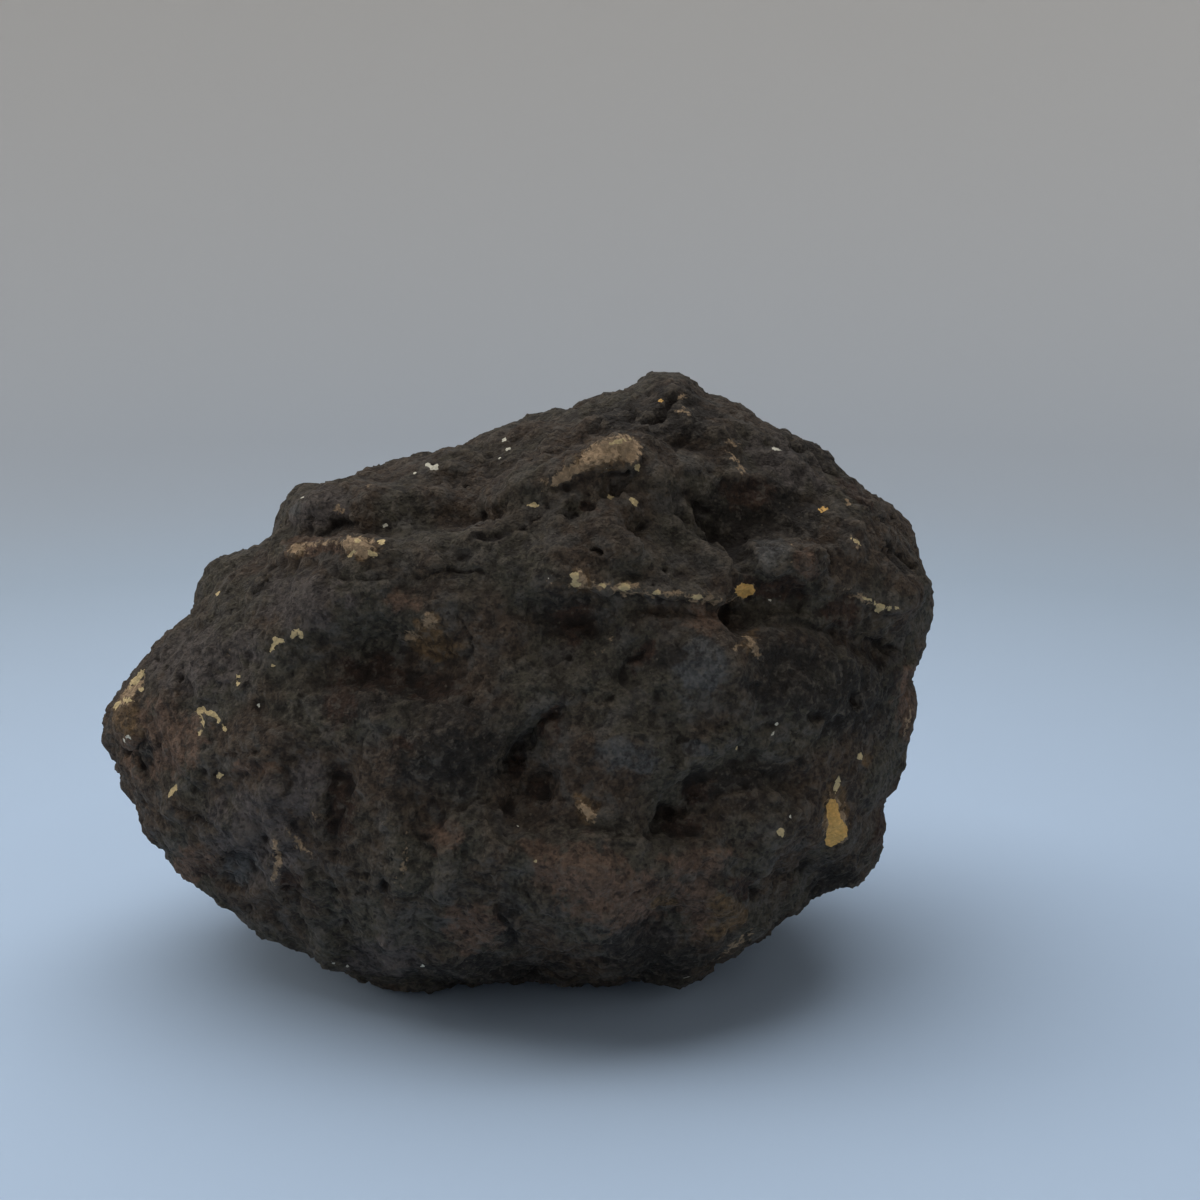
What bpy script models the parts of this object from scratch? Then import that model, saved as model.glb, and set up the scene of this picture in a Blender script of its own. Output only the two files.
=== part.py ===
"""An unopened geode: a rough, egg-shaped stone about 11 cm long, resting on a small flat spot.

The stone formed as one piece, so it is one closed solid. It is worked out on a sphere: each
point moves out along its own ray from the stone's middle, first to a plain egg, then up or
down by the named lumps, ledges and furrows of the stone's sides, and last by a seeded
roughness. Moving along rays keeps the skin from ever crossing itself. A flat cut underneath
makes the spot that the stone rests on.
"""

import math

import bmesh
import bpy
import numpy as np
from mathutils import Vector, noise

# Units: the sizes and lists below are millimetres, and the meshes are metres
MM = 0.001

# Driving dimensions of the egg
MIDDLE = np.array((0.0, 0.35, 38.0))  # so that the stone's box stands centred over the origin
FRONT_DEPTH = 38.0  # from the middle to the front face
BACK_DEPTH = 40.0  # from the middle to the back
FRONT_FULLNESS = 2.3  # 2 is an ellipse, and more is boxier
BACK_FULLNESS = 2.15
BLUNT_RIGHT = 0.3  # added to the fullness at the right end, and taken off at the pointed left end
RIM_TRIM = 0.986  # the rim is drawn as seen from near by, where a round thing looks a little larger
RIM_BAND = 0.32  # how far from the rim its small bays still show, as a share of a ray's length
RIM_SMOOTHING = 14  # degrees to each side, for the rim without its small bays
RIM_WANDER = 0.55  # how much the bays wander as they run to the back, in radians
RIM_WANDER_SIZE = 22.0

# The front is drawn as it is seen from this point, so that lumps line up along lines of sight
SIGHT_POINT = np.array((10.9, -284.65, 110.0))

# How finely the skin is made
SPHERE_LEVEL = 7  # 81,920 triangles before they are thinned
THINNED_TO = 9400
REST_CUTTER_SIZE = 160.0

# Roughness of the skin: rounded knobs side by side, slow waves, and grit
NOBBLE_SIZE = 8.5
NOBBLE_RISE = 1.1
WAVE_SIZE = 17.0
WAVE_RISE = 1.5
GRIT_SIZE = 5.0
GRIT_RISE = 0.35
SEED_OFFSET = np.array((31.7, 12.9, 57.3))
RIM_ROUGHNESS = 0.3  # the share of it at the rim, whose own shape is drawn
ROUGH_FADE = 0.15  # how far from the rim it is full, as a share of a ray's length

# How the named features behave
BEND_SIZE = 9.0  # their outlines and lines are bent by waves of this size
BEND = 1.1
SIDE_FADE = 0.25  # how soon they fade out toward the rim, as a share of a ray's length
DEPTH_SLACK = 0.4  # how much deeper than its own place a feature still has its full rise
DEPTH_REACH = 1.0  # and how much deeper yet it ends, both as shares of its size
LEDGE_LIP = 1.6  # how far past its line a ledge's drop is full
UNDER_FROM = -0.45  # the underside's features start where a ray points down this steeply
UNDER_FULL = -0.75

# The look of the weathered crust
CRUST_COLOUR = (0.075, 0.062, 0.052, 1.0)
CRUST_ROUGHNESS = 0.9

# The rim: the stone's outline as seen from the sight point, to the right and up from the
# middle, running over the top from the left tip
RIM = [
    (-55.4, -7.1), (-53.6, -2.6), (-50.8, 1.0), (-47.5, 4.9), (-43.6, 7.8), (-42.4, 10.0),
    (-40.3, 13.5), (-38.4, 14.6), (-35.0, 16.3), (-32.9, 17.1), (-32.2, 20.9), (-29.4, 24.2),
    (-24.7, 25.2), (-19.2, 27.0), (-16.2, 28.7), (-10.0, 29.9), (-7.6, 29.9), (-5.2, 31.1),
    (-2.8, 31.5), (0.0, 33.4), (5.4, 34.2), (6.5, 33.5), (9.6, 35.4), (14.1, 35.9),
    (17.2, 38.9), (19.4, 39.7), (22.4, 39.6), (25.7, 37.6), (30.4, 35.7), (32.9, 33.6),
    (36.8, 32.2), (41.2, 28.4), (44.6, 25.1), (49.6, 21.7), (51.4, 19.6), (52.4, 16.5),
    (54.2, 12.9), (55.4, 10.2), (55.3, 7.8), (54.1, 5.1), (53.8, 2.2), (52.4, -0.9),
    (53.8, -3.2), (52.4, -7.1), (50.6, -12.6), (48.5, -17.0), (48.7, -20.8), (47.4, -25.9),
    (46.0, -27.9), (42.4, -29.2), (38.4, -32.1), (35.6, -32.9), (32.8, -35.9), (28.5, -39.9),
    (25.5, -41.0), (20.2, -41.6), (-7.7, -42.2), (-10.6, -42.8), (-17.4, -42.3),
    (-23.6, -41.9), (-26.0, -39.4), (-31.3, -37.1), (-37.8, -31.9), (-42.2, -28.1),
    (-44.9, -26.7), (-49.7, -20.9), (-50.1, -18.4), (-52.1, -15.0), (-54.4, -10.3),
]

# Lumps and hollows: name, place to the right and up, half length, half width, turn in
# degrees, and rise, which is below zero for a hollow
FRONT_LUMPS = [
    ("belly", 3.0, -27.0, 34.0, 15.0, 0.0, 4.8),
    ("foot of the belly", -9.0, -38.0, 14.0, 7.0, -4.0, 1.6),
    ("belly crest", 7.5, -25.5, 9.0, 8.0, 60.0, 1.8),
    ("left shoulder", -27.0, 9.0, 16.0, 11.0, 10.0, 3.2),
    ("top left lobe", -23.0, 21.6, 12.0, 5.0, 12.0, 2.6),
    ("left lobe", -40.0, 12.0, 7.0, 5.0, 40.0, 1.8),
    ("left tip", -51.0, -6.0, 8.0, 9.0, 0.0, 1.5),
    ("dip by the left tip", -48.5, -11.5, 5.0, 3.5, 30.0, -1.6),
    ("brown hollow", -14.5, 1.0, 19.0, 9.0, -8.0, -4.2),
    ("left end of the hollow", -21.0, 1.5, 8.0, 6.0, 20.0, -1.0),
    ("hollow under the ledge", 8.0, 5.0, 11.0, 7.0, 15.0, -3.0),
    ("slanting hollow", 16.5, 1.0, 8.0, 4.0, 55.0, -2.0),
    ("smooth swelling", 25.0, 1.0, 9.0, 13.0, 0.0, 2.6),
    ("pale swelling", 17.0, -10.5, 12.0, 6.5, 5.0, 2.2),
    ("crater", 22.2, -9.0, 2.6, 2.2, 0.0, -1.3),
    ("pocket around the clefts", 1.5, -12.5, 9.0, 5.5, 52.0, -2.4),
    ("upright groove", -24.0, -17.5, 8.5, 3.0, 92.0, -2.6),
    ("middle left swelling", -12.0, -11.0, 10.0, 8.0, 30.0, 1.6),
    ("recess floor", 30.5, 22.0, 15.0, 8.5, -18.0, -6.2),
    ("boulder in the recess", 36.0, 15.8, 6.6, 4.8, -22.0, 5.4),
    ("far side of the recess", 44.0, 21.5, 6.0, 4.0, -35.0, 1.5),
    ("tan knob", 12.8, 28.9, 7.5, 4.4, 14.0, 3.6),
    ("knob's tail", 3.0, 26.0, 8.0, 3.0, 20.0, 1.4),
    ("hole under the knob", 13.8, 24.8, 4.6, 2.0, 12.0, -2.0),
    ("left pit of the top", 8.4, 22.2, 3.4, 2.2, 25.0, -2.2),
    ("right pit of the top", 16.4, 19.6, 3.2, 2.0, 5.0, -2.2),
    ("top slope swelling", 14.0, 15.5, 9.0, 4.0, -5.0, 1.4),
    ("summit knob", 21.0, 36.0, 7.0, 5.0, -10.0, 1.2),
    ("dip left of the summit", 10.0, 34.5, 6.0, 3.5, 10.0, -1.6),
    ("pit on the right", 21.4, -20.6, 5.5, 3.4, 10.0, -3.4),
    ("swelling by the long fleck", 34.0, -19.0, 9.0, 6.0, 10.0, 1.8),
    ("lower right flat", 37.0, -28.5, 11.0, 5.5, 20.0, -3.2),
    ("right edge lump", 47.0, -22.0, 6.0, 6.0, 0.0, 1.4),
    ("right edge notch", 51.8, -1.2, 3.2, 2.0, 0.0, -2.0),
    ("lower left dimple", -36.1, -25.4, 5.0, 4.0, 20.0, -2.6),
    ("next dimple", -29.5, -28.5, 3.6, 3.6, 0.0, -2.0),
    ("slit pit", -35.5, -31.4, 4.0, 2.2, -30.0, -1.6),
    ("dark side of the belly", 19.0, -33.0, 8.0, 6.0, -20.0, -2.2),
]

# Furrows and ridges: name, half width, rise (below zero for a furrow), and the line
FRONT_LINES = [
    ("long cleft", 2.4, -3.4, [(5.2, -6.0), (3.2, -9.0), (0.6, -12.0), (-1.2, -14.4)]),
    ("short cleft", 2.2, -3.6, [(4.4, -14.9), (1.8, -16.6), (-0.6, -18.4)]),
    ("crevice under the top lobe", 2.4, -2.2,
     [(-31.5, 17.2), (-27.0, 17.4), (-22.0, 18.8), (-15.5, 19.0), (-9.0, 21.4), (-3.0, 22.0)]),
    ("crest of the second shelf", 3.0, 1.6,
     [(-31.5, 16.0), (-26.0, 16.6), (-18.0, 16.0), (-11.0, 15.5)]),
    ("crevice beside the shoulder", 2.4, -1.8, [(-32.8, 15.4), (-34.5, 12.0), (-37.0, 8.8)]),
    ("right ridge", 4.2, 2.2, [(40.5, 20.0), (45.0, 15.8), (50.0, 11.4), (54.0, 8.4)]),
    ("groove under the right ridge", 4.4, -3.0,
     [(32.0, 8.6), (37.0, 9.0), (42.0, 7.4), (47.0, 5.0), (50.5, 3.0)]),
    ("curved groove", 4.0, -2.4, [(20.0, -19.5), (24.5, -15.0), (30.0, -13.2), (36.0, -14.4)]),
    ("outer light ridge", 2.8, 1.4,
     [(-32.0, -15.0), (-31.6, -21.0), (-29.0, -27.0), (-26.0, -32.6), (-24.0, -37.0)]),
    ("inner light ridge", 2.6, 1.3, [(-16.0, -18.0), (-15.2, -24.0), (-15.0, -33.0)]),
    ("belly's left ridge", 2.6, 1.2, [(-6.5, -19.0), (-9.0, -23.0), (-10.5, -30.0)]),
    ("ridge below the deep pit", 3.0, 1.4, [(-4.0, -20.5), (3.0, -22.0), (9.0, -23.0)]),
    ("top furrow", 2.4, -1.6, [(-8.0, 25.5), (-1.0, 28.0), (5.0, 30.6), (11.0, 32.4)]),
    ("furrow below the summit", 2.6, -1.5, [(14.0, 33.0), (20.0, 32.4), (26.0, 31.5), (33.0, 28.5)]),
]

# Ledges: name, drop just past the line, how far the drop takes to recover, and the line. The
# drop is on the right hand of someone who walks along the line
FRONT_LEDGES = [
    ("cream ledge", 2.8, 7.0,
     [(-4.0, 9.4), (2.0, 11.6), (7.0, 11.9), (13.6, 11.0), (19.0, 10.0), (24.5, 9.6), (31.0, 10.4)]),
    ("left wall of the recess", 3.4, 9.0,
     [(18.5, 28.0), (21.2, 23.2), (23.6, 19.2), (26.4, 16.2), (29.5, 12.6)]),
    ("shoulder's lower edge", 1.2, 6.0, [(-31.0, 3.6), (-26.0, 5.4), (-20.0, 7.0), (-12.0, 6.4)]),
]

# The back, as seen straight from behind the middle, but still measured to the front's right
BACK_LUMPS = [
    ("back hump", -10.0, 6.0, 30.0, 20.0, 10.0, 4.2),
    ("back hollow", 20.0, 12.0, 16.0, 10.0, -25.0, -4.4),
    ("boulder of the back hollow", 23.0, 9.0, 6.0, 5.0, 20.0, 3.4),
    ("back left shoulder", -34.0, 4.0, 13.0, 11.0, -10.0, 3.0),
    ("back foot", 10.0, -24.0, 24.0, 10.0, 4.0, 3.2),
    ("back dimple", -20.0, -16.0, 8.0, 5.0, 40.0, -3.0),
    ("back right lobe", 41.0, -4.0, 9.0, 12.0, 15.0, 2.6),
    ("back pit", 2.0, -4.0, 4.0, 3.0, -30.0, -3.4),
    ("back second pit", 7.5, -8.0, 3.2, 2.6, 20.0, -2.6),
    ("back top lobe", -4.0, 26.0, 11.0, 5.5, -8.0, 2.4),
    ("back low pit", 30.0, -18.0, 4.6, 3.4, 0.0, -2.8),
    ("back left notch", -45.0, -12.0, 5.0, 5.0, 0.0, -2.2),
    ("back knob", 12.0, 27.0, 6.0, 4.0, 30.0, 2.4),
    ("dent of the right end", 49.0, 7.0, 7.0, 6.0, 20.0, -2.6),
    ("knob of the right end", 47.5, -11.0, 6.0, 5.0, -30.0, 2.2),
    ("dent of the left end", -47.0, 3.0, 6.0, 5.0, 40.0, -2.2),
    ("knob of the left end", -42.0, -20.0, 7.0, 5.0, -20.0, 2.0),
    ("dent behind the summit", 24.0, 33.0, 8.0, 5.0, -20.0, -2.2),
]
BACK_LINES = [
    ("back crevice", 2.8, -2.6,
     [(-30.0, 18.0), (-20.0, 15.0), (-8.0, 17.0), (4.0, 13.0), (10.0, 6.0)]),
    ("back ridge", 3.4, 2.0, [(-12.0, -8.0), (-2.0, -13.0), (12.0, -13.0), (26.0, -9.0)]),
    ("back slanting furrow", 2.6, -2.0, [(-40.0, -6.0), (-33.0, -12.0), (-28.0, -20.0)]),
    ("back right furrow", 2.8, -2.0, [(34.0, 16.0), (36.0, 8.0), (33.0, 0.0), (34.0, -9.0)]),
]
BACK_LEDGES = [
    ("back ledge", 2.0, 8.0, [(-26.0, 2.0), (-14.0, 4.0), (-2.0, 1.0), (8.0, 2.0)]),
    ("back low ledge", 2.0, 7.0, [(38.0, -14.0), (26.0, -18.0), (14.0, -17.0), (2.0, -20.0)]),
]

# The underside, as seen from above through the stone: to the right and to the back
UNDER_LUMPS = [
    ("left of the underside", -31.0, 4.0, 26.0, 32.0, 10.0, -5.4),
    ("right of the underside", 34.0, 2.0, 27.0, 30.0, -8.0, -5.8),
    ("back of the underside", 2.0, 31.0, 42.0, 27.0, 0.0, -6.2),
    ("front of the underside", 3.0, -28.0, 30.0, 15.0, 0.0, -1.6),
    ("underside's dent", 16.0, -9.0, 9.0, 6.0, 30.0, -2.0),
    ("underside's second dent", -9.0, 16.0, 9.0, 7.0, -20.0, -2.2),
    ("underside's foot", -6.0, -3.0, 10.0, 7.0, 15.0, 0.8),
]

# The frame of the front view: right, up and away from the viewer
RIGHT = np.array((1.0, 0.0, 0.0))
TILT = math.atan2(SIGHT_POINT[2] - MIDDLE[2], MIDDLE[1] - SIGHT_POINT[1])
AWAY = np.array((0.0, math.cos(TILT), -math.sin(TILT)))
SEEN_UP = np.array((0.0, math.sin(TILT), math.cos(TILT)))


def smooth_closed_curve(points, steps=12):
    """Points of a Catmull-Rom curve that passes through every given point and closes."""
    points = np.array(points)
    a, b, c, d = (np.roll(points, shift, axis=0) for shift in (1, 0, -1, -2))
    curve = []
    for t in np.arange(steps) / steps:
        curve.append(0.5 * (2 * b + (c - a) * t + (2 * a - 5 * b + 4 * c - d) * t**2
                            + (3 * b - a - 3 * c + d) * t**3))
    return np.concatenate(curve)


def rim_by_angle():
    """The rim's angles, in order, and its radius at each."""
    curve = smooth_closed_curve(RIM)
    angles = np.arctan2(curve[:, 1], curve[:, 0])
    order = np.argsort(angles)
    return angles[order], np.hypot(curve[:, 0], curve[:, 1])[order]


RIM_ANGLES, RIM_RADII = rim_by_angle()


def noise_at(points, size, octaves):
    """Seeded fractal noise, about -1 to 1, whose lumps are about the given size."""
    places = (points + SEED_OFFSET) / size
    return np.array([noise.fractal(Vector(place), 0.9, 2.1, octaves) for place in places])


def nobbles_at(points, size):
    """Rounded knobs of about the given size, from -0.65 in the creases between them to 0.35."""
    places = (points + SEED_OFFSET) / size
    nearest = np.array([noise.voronoi(Vector(place))[0][:2] for place in places])
    inward = np.minimum((nearest[:, 1] - nearest[:, 0]) * 1.2, 1.0)
    return inward * (2 - inward) - 0.65


def bends_at(points):
    """How far right, back and up a place is pushed, about -1 to 1, so that nothing runs straight."""
    shifts = (0.0, 40.0, 80.0)
    return np.column_stack([noise_at(points + shift, BEND_SIZE, 1) for shift in shifts])


def sharp_rim(angles):
    return np.interp(angles, RIM_ANGLES, RIM_RADII, period=math.tau)


def plain_rim(angles):
    """The rim without its small bays: its mean over a few degrees to each side."""
    around = np.radians(np.linspace(-RIM_SMOOTHING, RIM_SMOOTHING, 9))
    return sharp_rim(angles[:, None] + around).mean(axis=1)


def side_depth_and_fullness(angles, away):
    blunt = BLUNT_RIGHT * np.cos(angles)
    depth = np.where(away > 0, BACK_DEPTH, FRONT_DEPTH)
    fullness = np.where(away > 0, BACK_FULLNESS + blunt / 2, FRONT_FULLNESS + blunt)
    return depth, fullness


def egg_reach(rays):
    """How far the plain egg reaches along each ray from the middle."""
    right, up, away = rays @ RIGHT, rays @ SEEN_UP, rays @ AWAY
    angles = np.arctan2(up, right)
    plain = plain_rim(angles)
    wander = noise_at(rays * plain[:, None], RIM_WANDER_SIZE, 2)
    wandered = angles + RIM_WANDER * wander * np.clip(away / RIM_BAND, 0.0, 1.0)
    bays = (sharp_rim(wandered) - plain_rim(wandered)) * np.exp(-((away / RIM_BAND) ** 2))
    depth, fullness = side_depth_and_fullness(angles, away)
    across = np.hypot(right, up) / (RIM_TRIM * (plain + bays))
    return (across**fullness + np.abs(away / depth) ** fullness) ** (-1 / fullness)


def depth_of(x, y, away):
    """How deep the plain egg's skin lies at x, y, on the side of the rim that away gives."""
    x, y, away = np.broadcast_arrays(x, y, away)
    angles = np.arctan2(y, x)
    depth, fullness = side_depth_and_fullness(angles, away)
    share = np.minimum(np.hypot(x, y) / (RIM_TRIM * plain_rim(angles)), 1.0)
    return depth * (1 - share**fullness) ** (1 / fullness)


def seen_from_front(points):
    """Where the lines of sight to the points cross the upright sheet through the middle."""
    lines = MIDDLE + points - SIGHT_POINT
    reach = (MIDDLE - SIGHT_POINT) @ AWAY / (lines @ AWAY)
    crossings = SIGHT_POINT + lines * reach[:, None] - MIDDLE
    return np.column_stack((crossings @ RIGHT, crossings @ SEEN_UP, points @ AWAY))


def seen_from_behind(points):
    return np.column_stack((points @ RIGHT, points @ SEEN_UP, points @ AWAY))


def dome(distance):
    """A smooth hill: 1 at the middle, and 0 from a distance of 1 on."""
    return np.clip(1 - distance**2, 0, 1) ** 2


def near_in_depth(places, x, y, size):
    """1 where a place lies as deep as a feature at x, y, falling to 0 where it lies well past it.

    It keeps a feature near the rim from running on over the edge as a long streak.
    """
    gap = np.abs(np.abs(places[:, 2]) - depth_of(x, y, places[:, 2]))
    return dome(np.maximum(gap - size * DEPTH_SLACK, 0.0) / (size * DEPTH_REACH))


def lump_shape(lump, places):
    _, lump_x, lump_y, half_length, half_width, turn, rise = lump
    x, y = places[:, 0] - lump_x, places[:, 1] - lump_y
    cos, sin = math.cos(math.radians(turn)), math.sin(math.radians(turn))
    along, across = x * cos + y * sin, y * cos - x * sin
    return rise * dome(np.hypot(along / half_length, across / half_width))


def lump_rise(lump, places):
    _, lump_x, lump_y, half_length, half_width, _, _ = lump
    size = max(half_length, half_width)
    return lump_shape(lump, places) * near_in_depth(places, lump_x, lump_y, size)


def nearest_on_line(line, places):
    """The distance to a line of straight runs, whether a place is on the right hand of someone
    who walks along it, and the nearest point on it."""
    x, y = places[:, 0], places[:, 1]
    best = np.full(len(places), math.inf)
    right_hand = np.zeros(len(places), bool)
    near = np.zeros((len(places), 2))
    for (ax, ay), (bx, by) in zip(line, line[1:]):
        run_x, run_y = bx - ax, by - ay
        share = ((x - ax) * run_x + (y - ay) * run_y) / (run_x**2 + run_y**2)
        share = np.clip(share, 0.0, 1.0)
        near_x, near_y = ax + share * run_x, ay + share * run_y
        distance = np.hypot(x - near_x, y - near_y)
        closer = distance < best
        best[closer] = distance[closer]
        right_hand[closer] = (run_y * (x - near_x) - run_x * (y - near_y) > 0)[closer]
        near[closer] = np.column_stack((near_x, near_y))[closer]
    return best, right_hand, near


def line_rise(line, places):
    _, half_width, rise, points = line
    distance, _, near = nearest_on_line(points, places)
    kept = near_in_depth(places, near[:, 0], near[:, 1], 2 * half_width)
    return rise * dome(distance / half_width) * kept


def ledge_rise(ledge, places):
    _, drop, run, points = ledge
    distance, right_hand, near = nearest_on_line(points, places)
    lip = np.sin(np.minimum(distance / LEDGE_LIP, 1.0) * math.pi / 2)
    ends = [np.hypot(places[:, 0] - x, places[:, 1] - y) for x, y in (points[0], points[-1])]
    dying_out = np.minimum(np.minimum(*ends) / run, 1.0)
    kept = near_in_depth(places, near[:, 0], near[:, 1], run)
    return np.where(right_hand, -drop * lip * dome(distance / run) * dying_out * kept, 0.0)


def side_relief(places, lumps, lines, ledges):
    """What a side's own lumps, lines and ledges add at places given as (right, up, away)."""
    return (sum(lump_rise(lump, places) for lump in lumps)
            + sum(line_rise(line, places) for line in lines)
            + sum(ledge_rise(ledge, places) for ledge in ledges))


def skin_reach(rays):
    """How far the finished skin reaches along each ray from the middle."""
    egg = egg_reach(rays)
    points = rays * egg[:, None]
    away = rays @ AWAY
    bent = points + BEND * bends_at(points)
    front = side_relief(seen_from_front(bent), FRONT_LUMPS, FRONT_LINES, FRONT_LEDGES)
    back = side_relief(seen_from_behind(bent), BACK_LUMPS, BACK_LINES, BACK_LEDGES)
    fade = np.minimum(np.abs(away) / SIDE_FADE, 1.0)
    steep = np.clip((UNDER_FROM - rays[:, 2]) / (UNDER_FROM - UNDER_FULL), 0, 1)
    under = sum(lump_shape(lump, bent) for lump in UNDER_LUMPS) * steep
    rough = (WAVE_RISE * noise_at(points, WAVE_SIZE, 2)
             + NOBBLE_RISE * nobbles_at(points, NOBBLE_SIZE)
             + GRIT_RISE * noise_at(points, GRIT_SIZE, 2))
    rough *= 1 - (1 - RIM_ROUGHNESS) * np.exp(-((away / ROUGH_FADE) ** 2))
    return egg + np.where(away < 0, front, back) * fade + under + rough


def crust_material():
    material = bpy.data.materials.new("weathered crust")
    material.use_nodes = True
    shader = material.node_tree.nodes["Principled BSDF"]
    shader.inputs["Base Color"].default_value = CRUST_COLOUR
    shader.inputs["Roughness"].default_value = CRUST_ROUGHNESS
    shader.inputs["Metallic"].default_value = 0.0
    return material


def rest_cutter(collection):
    """A block whose top is the surface that the stone rests on."""
    bpy.ops.mesh.primitive_cube_add(size=REST_CUTTER_SIZE * MM)
    cutter = bpy.context.object
    cutter.name = "rest_cutter"
    cutter.location.z = -REST_CUTTER_SIZE / 2 * MM
    cutter.hide_render = True
    cutter.display_type = "WIRE"
    for other in cutter.users_collection:
        other.objects.unlink(cutter)
    collection.objects.link(cutter)
    return cutter


def geode(collection, cutter):
    mesh = bpy.data.meshes.new("geode_stone")
    skin = bmesh.new()
    bmesh.ops.create_icosphere(skin, subdivisions=SPHERE_LEVEL, radius=1.0)
    rays = np.array([vertex.co.normalized() for vertex in skin.verts])
    for vertex, ray, reach in zip(skin.verts, rays, skin_reach(rays)):
        vertex.co = (MIDDLE + ray * reach) * MM
    full = len(skin.faces)
    skin.to_mesh(mesh)
    skin.free()
    mesh.shade_smooth()
    mesh.materials.append(crust_material())

    stone = bpy.data.objects.new("geode_stone", mesh)
    collection.objects.link(stone)
    thin = stone.modifiers.new("thin the skin", "DECIMATE")
    thin.ratio = THINNED_TO / full
    rest = stone.modifiers.new("rest spot", "BOOLEAN")
    rest.operation = "DIFFERENCE"
    rest.solver = "EXACT"
    rest.object = cutter
    return stone


def collection_named(name):
    collection = bpy.data.collections.new(name)
    bpy.context.scene.collection.children.link(collection)
    return collection


def main():
    for item in list(bpy.data.objects):
        bpy.data.objects.remove(item)
    cutter = rest_cutter(collection_named("cutters"))
    geode(collection_named("unopened geode"), cutter)


main()
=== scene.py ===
# %% [markdown]
# # An unopened geode, dressed for its portrait
# An unopened geode looks like any rough stone: a closed crust, weathered dark brown and grey,
# full of small lumps and pits, with cream and ochre mineral flecks in it. The solid that this
# scene starts from has the stone's own form, its lumps, ledges and hollows. What is still
# missing is everything smaller than about 3 mm, and every colour. The cells below add the
# fine relief as real geometry, paint the crust, and light it as by a soft window.

# %% The frame
import math

import bmesh
import bpy
import numpy as np
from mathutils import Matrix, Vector


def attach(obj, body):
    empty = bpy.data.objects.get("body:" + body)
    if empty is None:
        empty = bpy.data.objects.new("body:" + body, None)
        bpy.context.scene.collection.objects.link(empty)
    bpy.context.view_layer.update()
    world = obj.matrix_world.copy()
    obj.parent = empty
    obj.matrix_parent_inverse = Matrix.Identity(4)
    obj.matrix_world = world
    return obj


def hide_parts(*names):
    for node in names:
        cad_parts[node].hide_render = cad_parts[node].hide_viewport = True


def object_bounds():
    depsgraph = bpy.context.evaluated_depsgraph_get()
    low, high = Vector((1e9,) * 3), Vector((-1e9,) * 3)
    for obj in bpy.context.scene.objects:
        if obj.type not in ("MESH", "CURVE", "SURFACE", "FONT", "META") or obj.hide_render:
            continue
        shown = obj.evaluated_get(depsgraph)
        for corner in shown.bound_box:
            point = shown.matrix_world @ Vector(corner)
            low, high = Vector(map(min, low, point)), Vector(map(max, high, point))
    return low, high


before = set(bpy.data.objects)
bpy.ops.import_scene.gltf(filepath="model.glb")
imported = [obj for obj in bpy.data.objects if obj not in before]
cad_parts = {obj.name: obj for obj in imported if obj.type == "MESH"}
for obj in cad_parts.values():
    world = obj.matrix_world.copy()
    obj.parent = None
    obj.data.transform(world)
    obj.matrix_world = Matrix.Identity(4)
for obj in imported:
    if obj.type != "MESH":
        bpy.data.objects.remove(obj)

solid_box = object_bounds()
MM = 0.001
print("the solid's box in mm:", [[round(value / MM, 2) for value in corner] for corner in solid_box])

# %% [markdown]
# ## The camera first
# The camera comes before everything, because the crust's marks are placed as a person sees
# them: to the right and up from the stone's middle. It stands 0.3 m away, a little above the
# stone, and looks down by 12.3 degrees.

# %% A helper that puts something into the scene
def placed(name, data):
    made = bpy.data.objects.new(name, data)
    bpy.context.scene.collection.objects.link(made)
    return made


# %% The camera
MIDDLE = np.array((0.0, 0.35, 38.0))  # the middle of the stone, in mm
EYE = np.array((10.9, -284.65, 110.0))  # where the stone is seen from, in mm
LOOK_DOWN = math.radians(12.3)
LENS = 66.0

lens = bpy.data.cameras.new("portrait_lens")
lens.lens = LENS
lens.sensor_width = 36.0
lens.clip_start = 0.01
camera = placed("portrait_camera", lens)
camera.location = Vector(EYE) * MM
camera.rotation_euler = (math.radians(90) - LOOK_DOWN, 0, 0)
bpy.context.scene.camera = camera
bpy.context.scene.view_settings.view_transform = "Standard"
print("the camera is", round(float(np.linalg.norm(EYE - MIDDLE))), "mm from the stone's middle")

# %% [markdown]
# ## A fine skin over the solid
# The solid has flat faces of 2 to 3 mm, which would show as facets. A copy of it is merged
# into one closed mesh and made again from small squares by a voxel remesh. The squares know
# nothing of the old edges, so a short smoothing takes the facets away and keeps the lumps.

# %% A helper that turns an evaluated object into a plain mesh
def apply_modifiers(piece):
    """The piece keeps what its modifiers make, as a plain mesh with all its attributes."""
    shapes = bpy.context.evaluated_depsgraph_get()
    made = bpy.data.meshes.new_from_object(
        piece.evaluated_get(shapes), preserve_all_data_layers=True, depsgraph=shapes)
    piece.modifiers.clear()
    piece.data = made
    return made


# %% The fine skin
SAME_SPOT = 0.00001  # m, closer than which two corners are one
VOXEL = 0.36  # mm
FACET_SMOOTHING = 16  # rounds

closed = bmesh.new()
closed.from_mesh(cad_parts["geode_stone"].data)
bmesh.ops.remove_doubles(closed, verts=closed.verts, dist=SAME_SPOT)
skin_mesh = bpy.data.meshes.new("weathered_stone")
closed.to_mesh(skin_mesh)
closed.free()
stone = placed("weathered_stone", skin_mesh)

remesh = stone.modifiers.new("small squares", "REMESH")
remesh.mode = "VOXEL"
remesh.voxel_size = VOXEL * MM
relax = stone.modifiers.new("no facets", "SMOOTH")
relax.factor = 0.5
relax.iterations = FACET_SMOOTHING
apply_modifiers(stone)
print("the fine skin has", len(stone.data.polygons), "squares")

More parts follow.
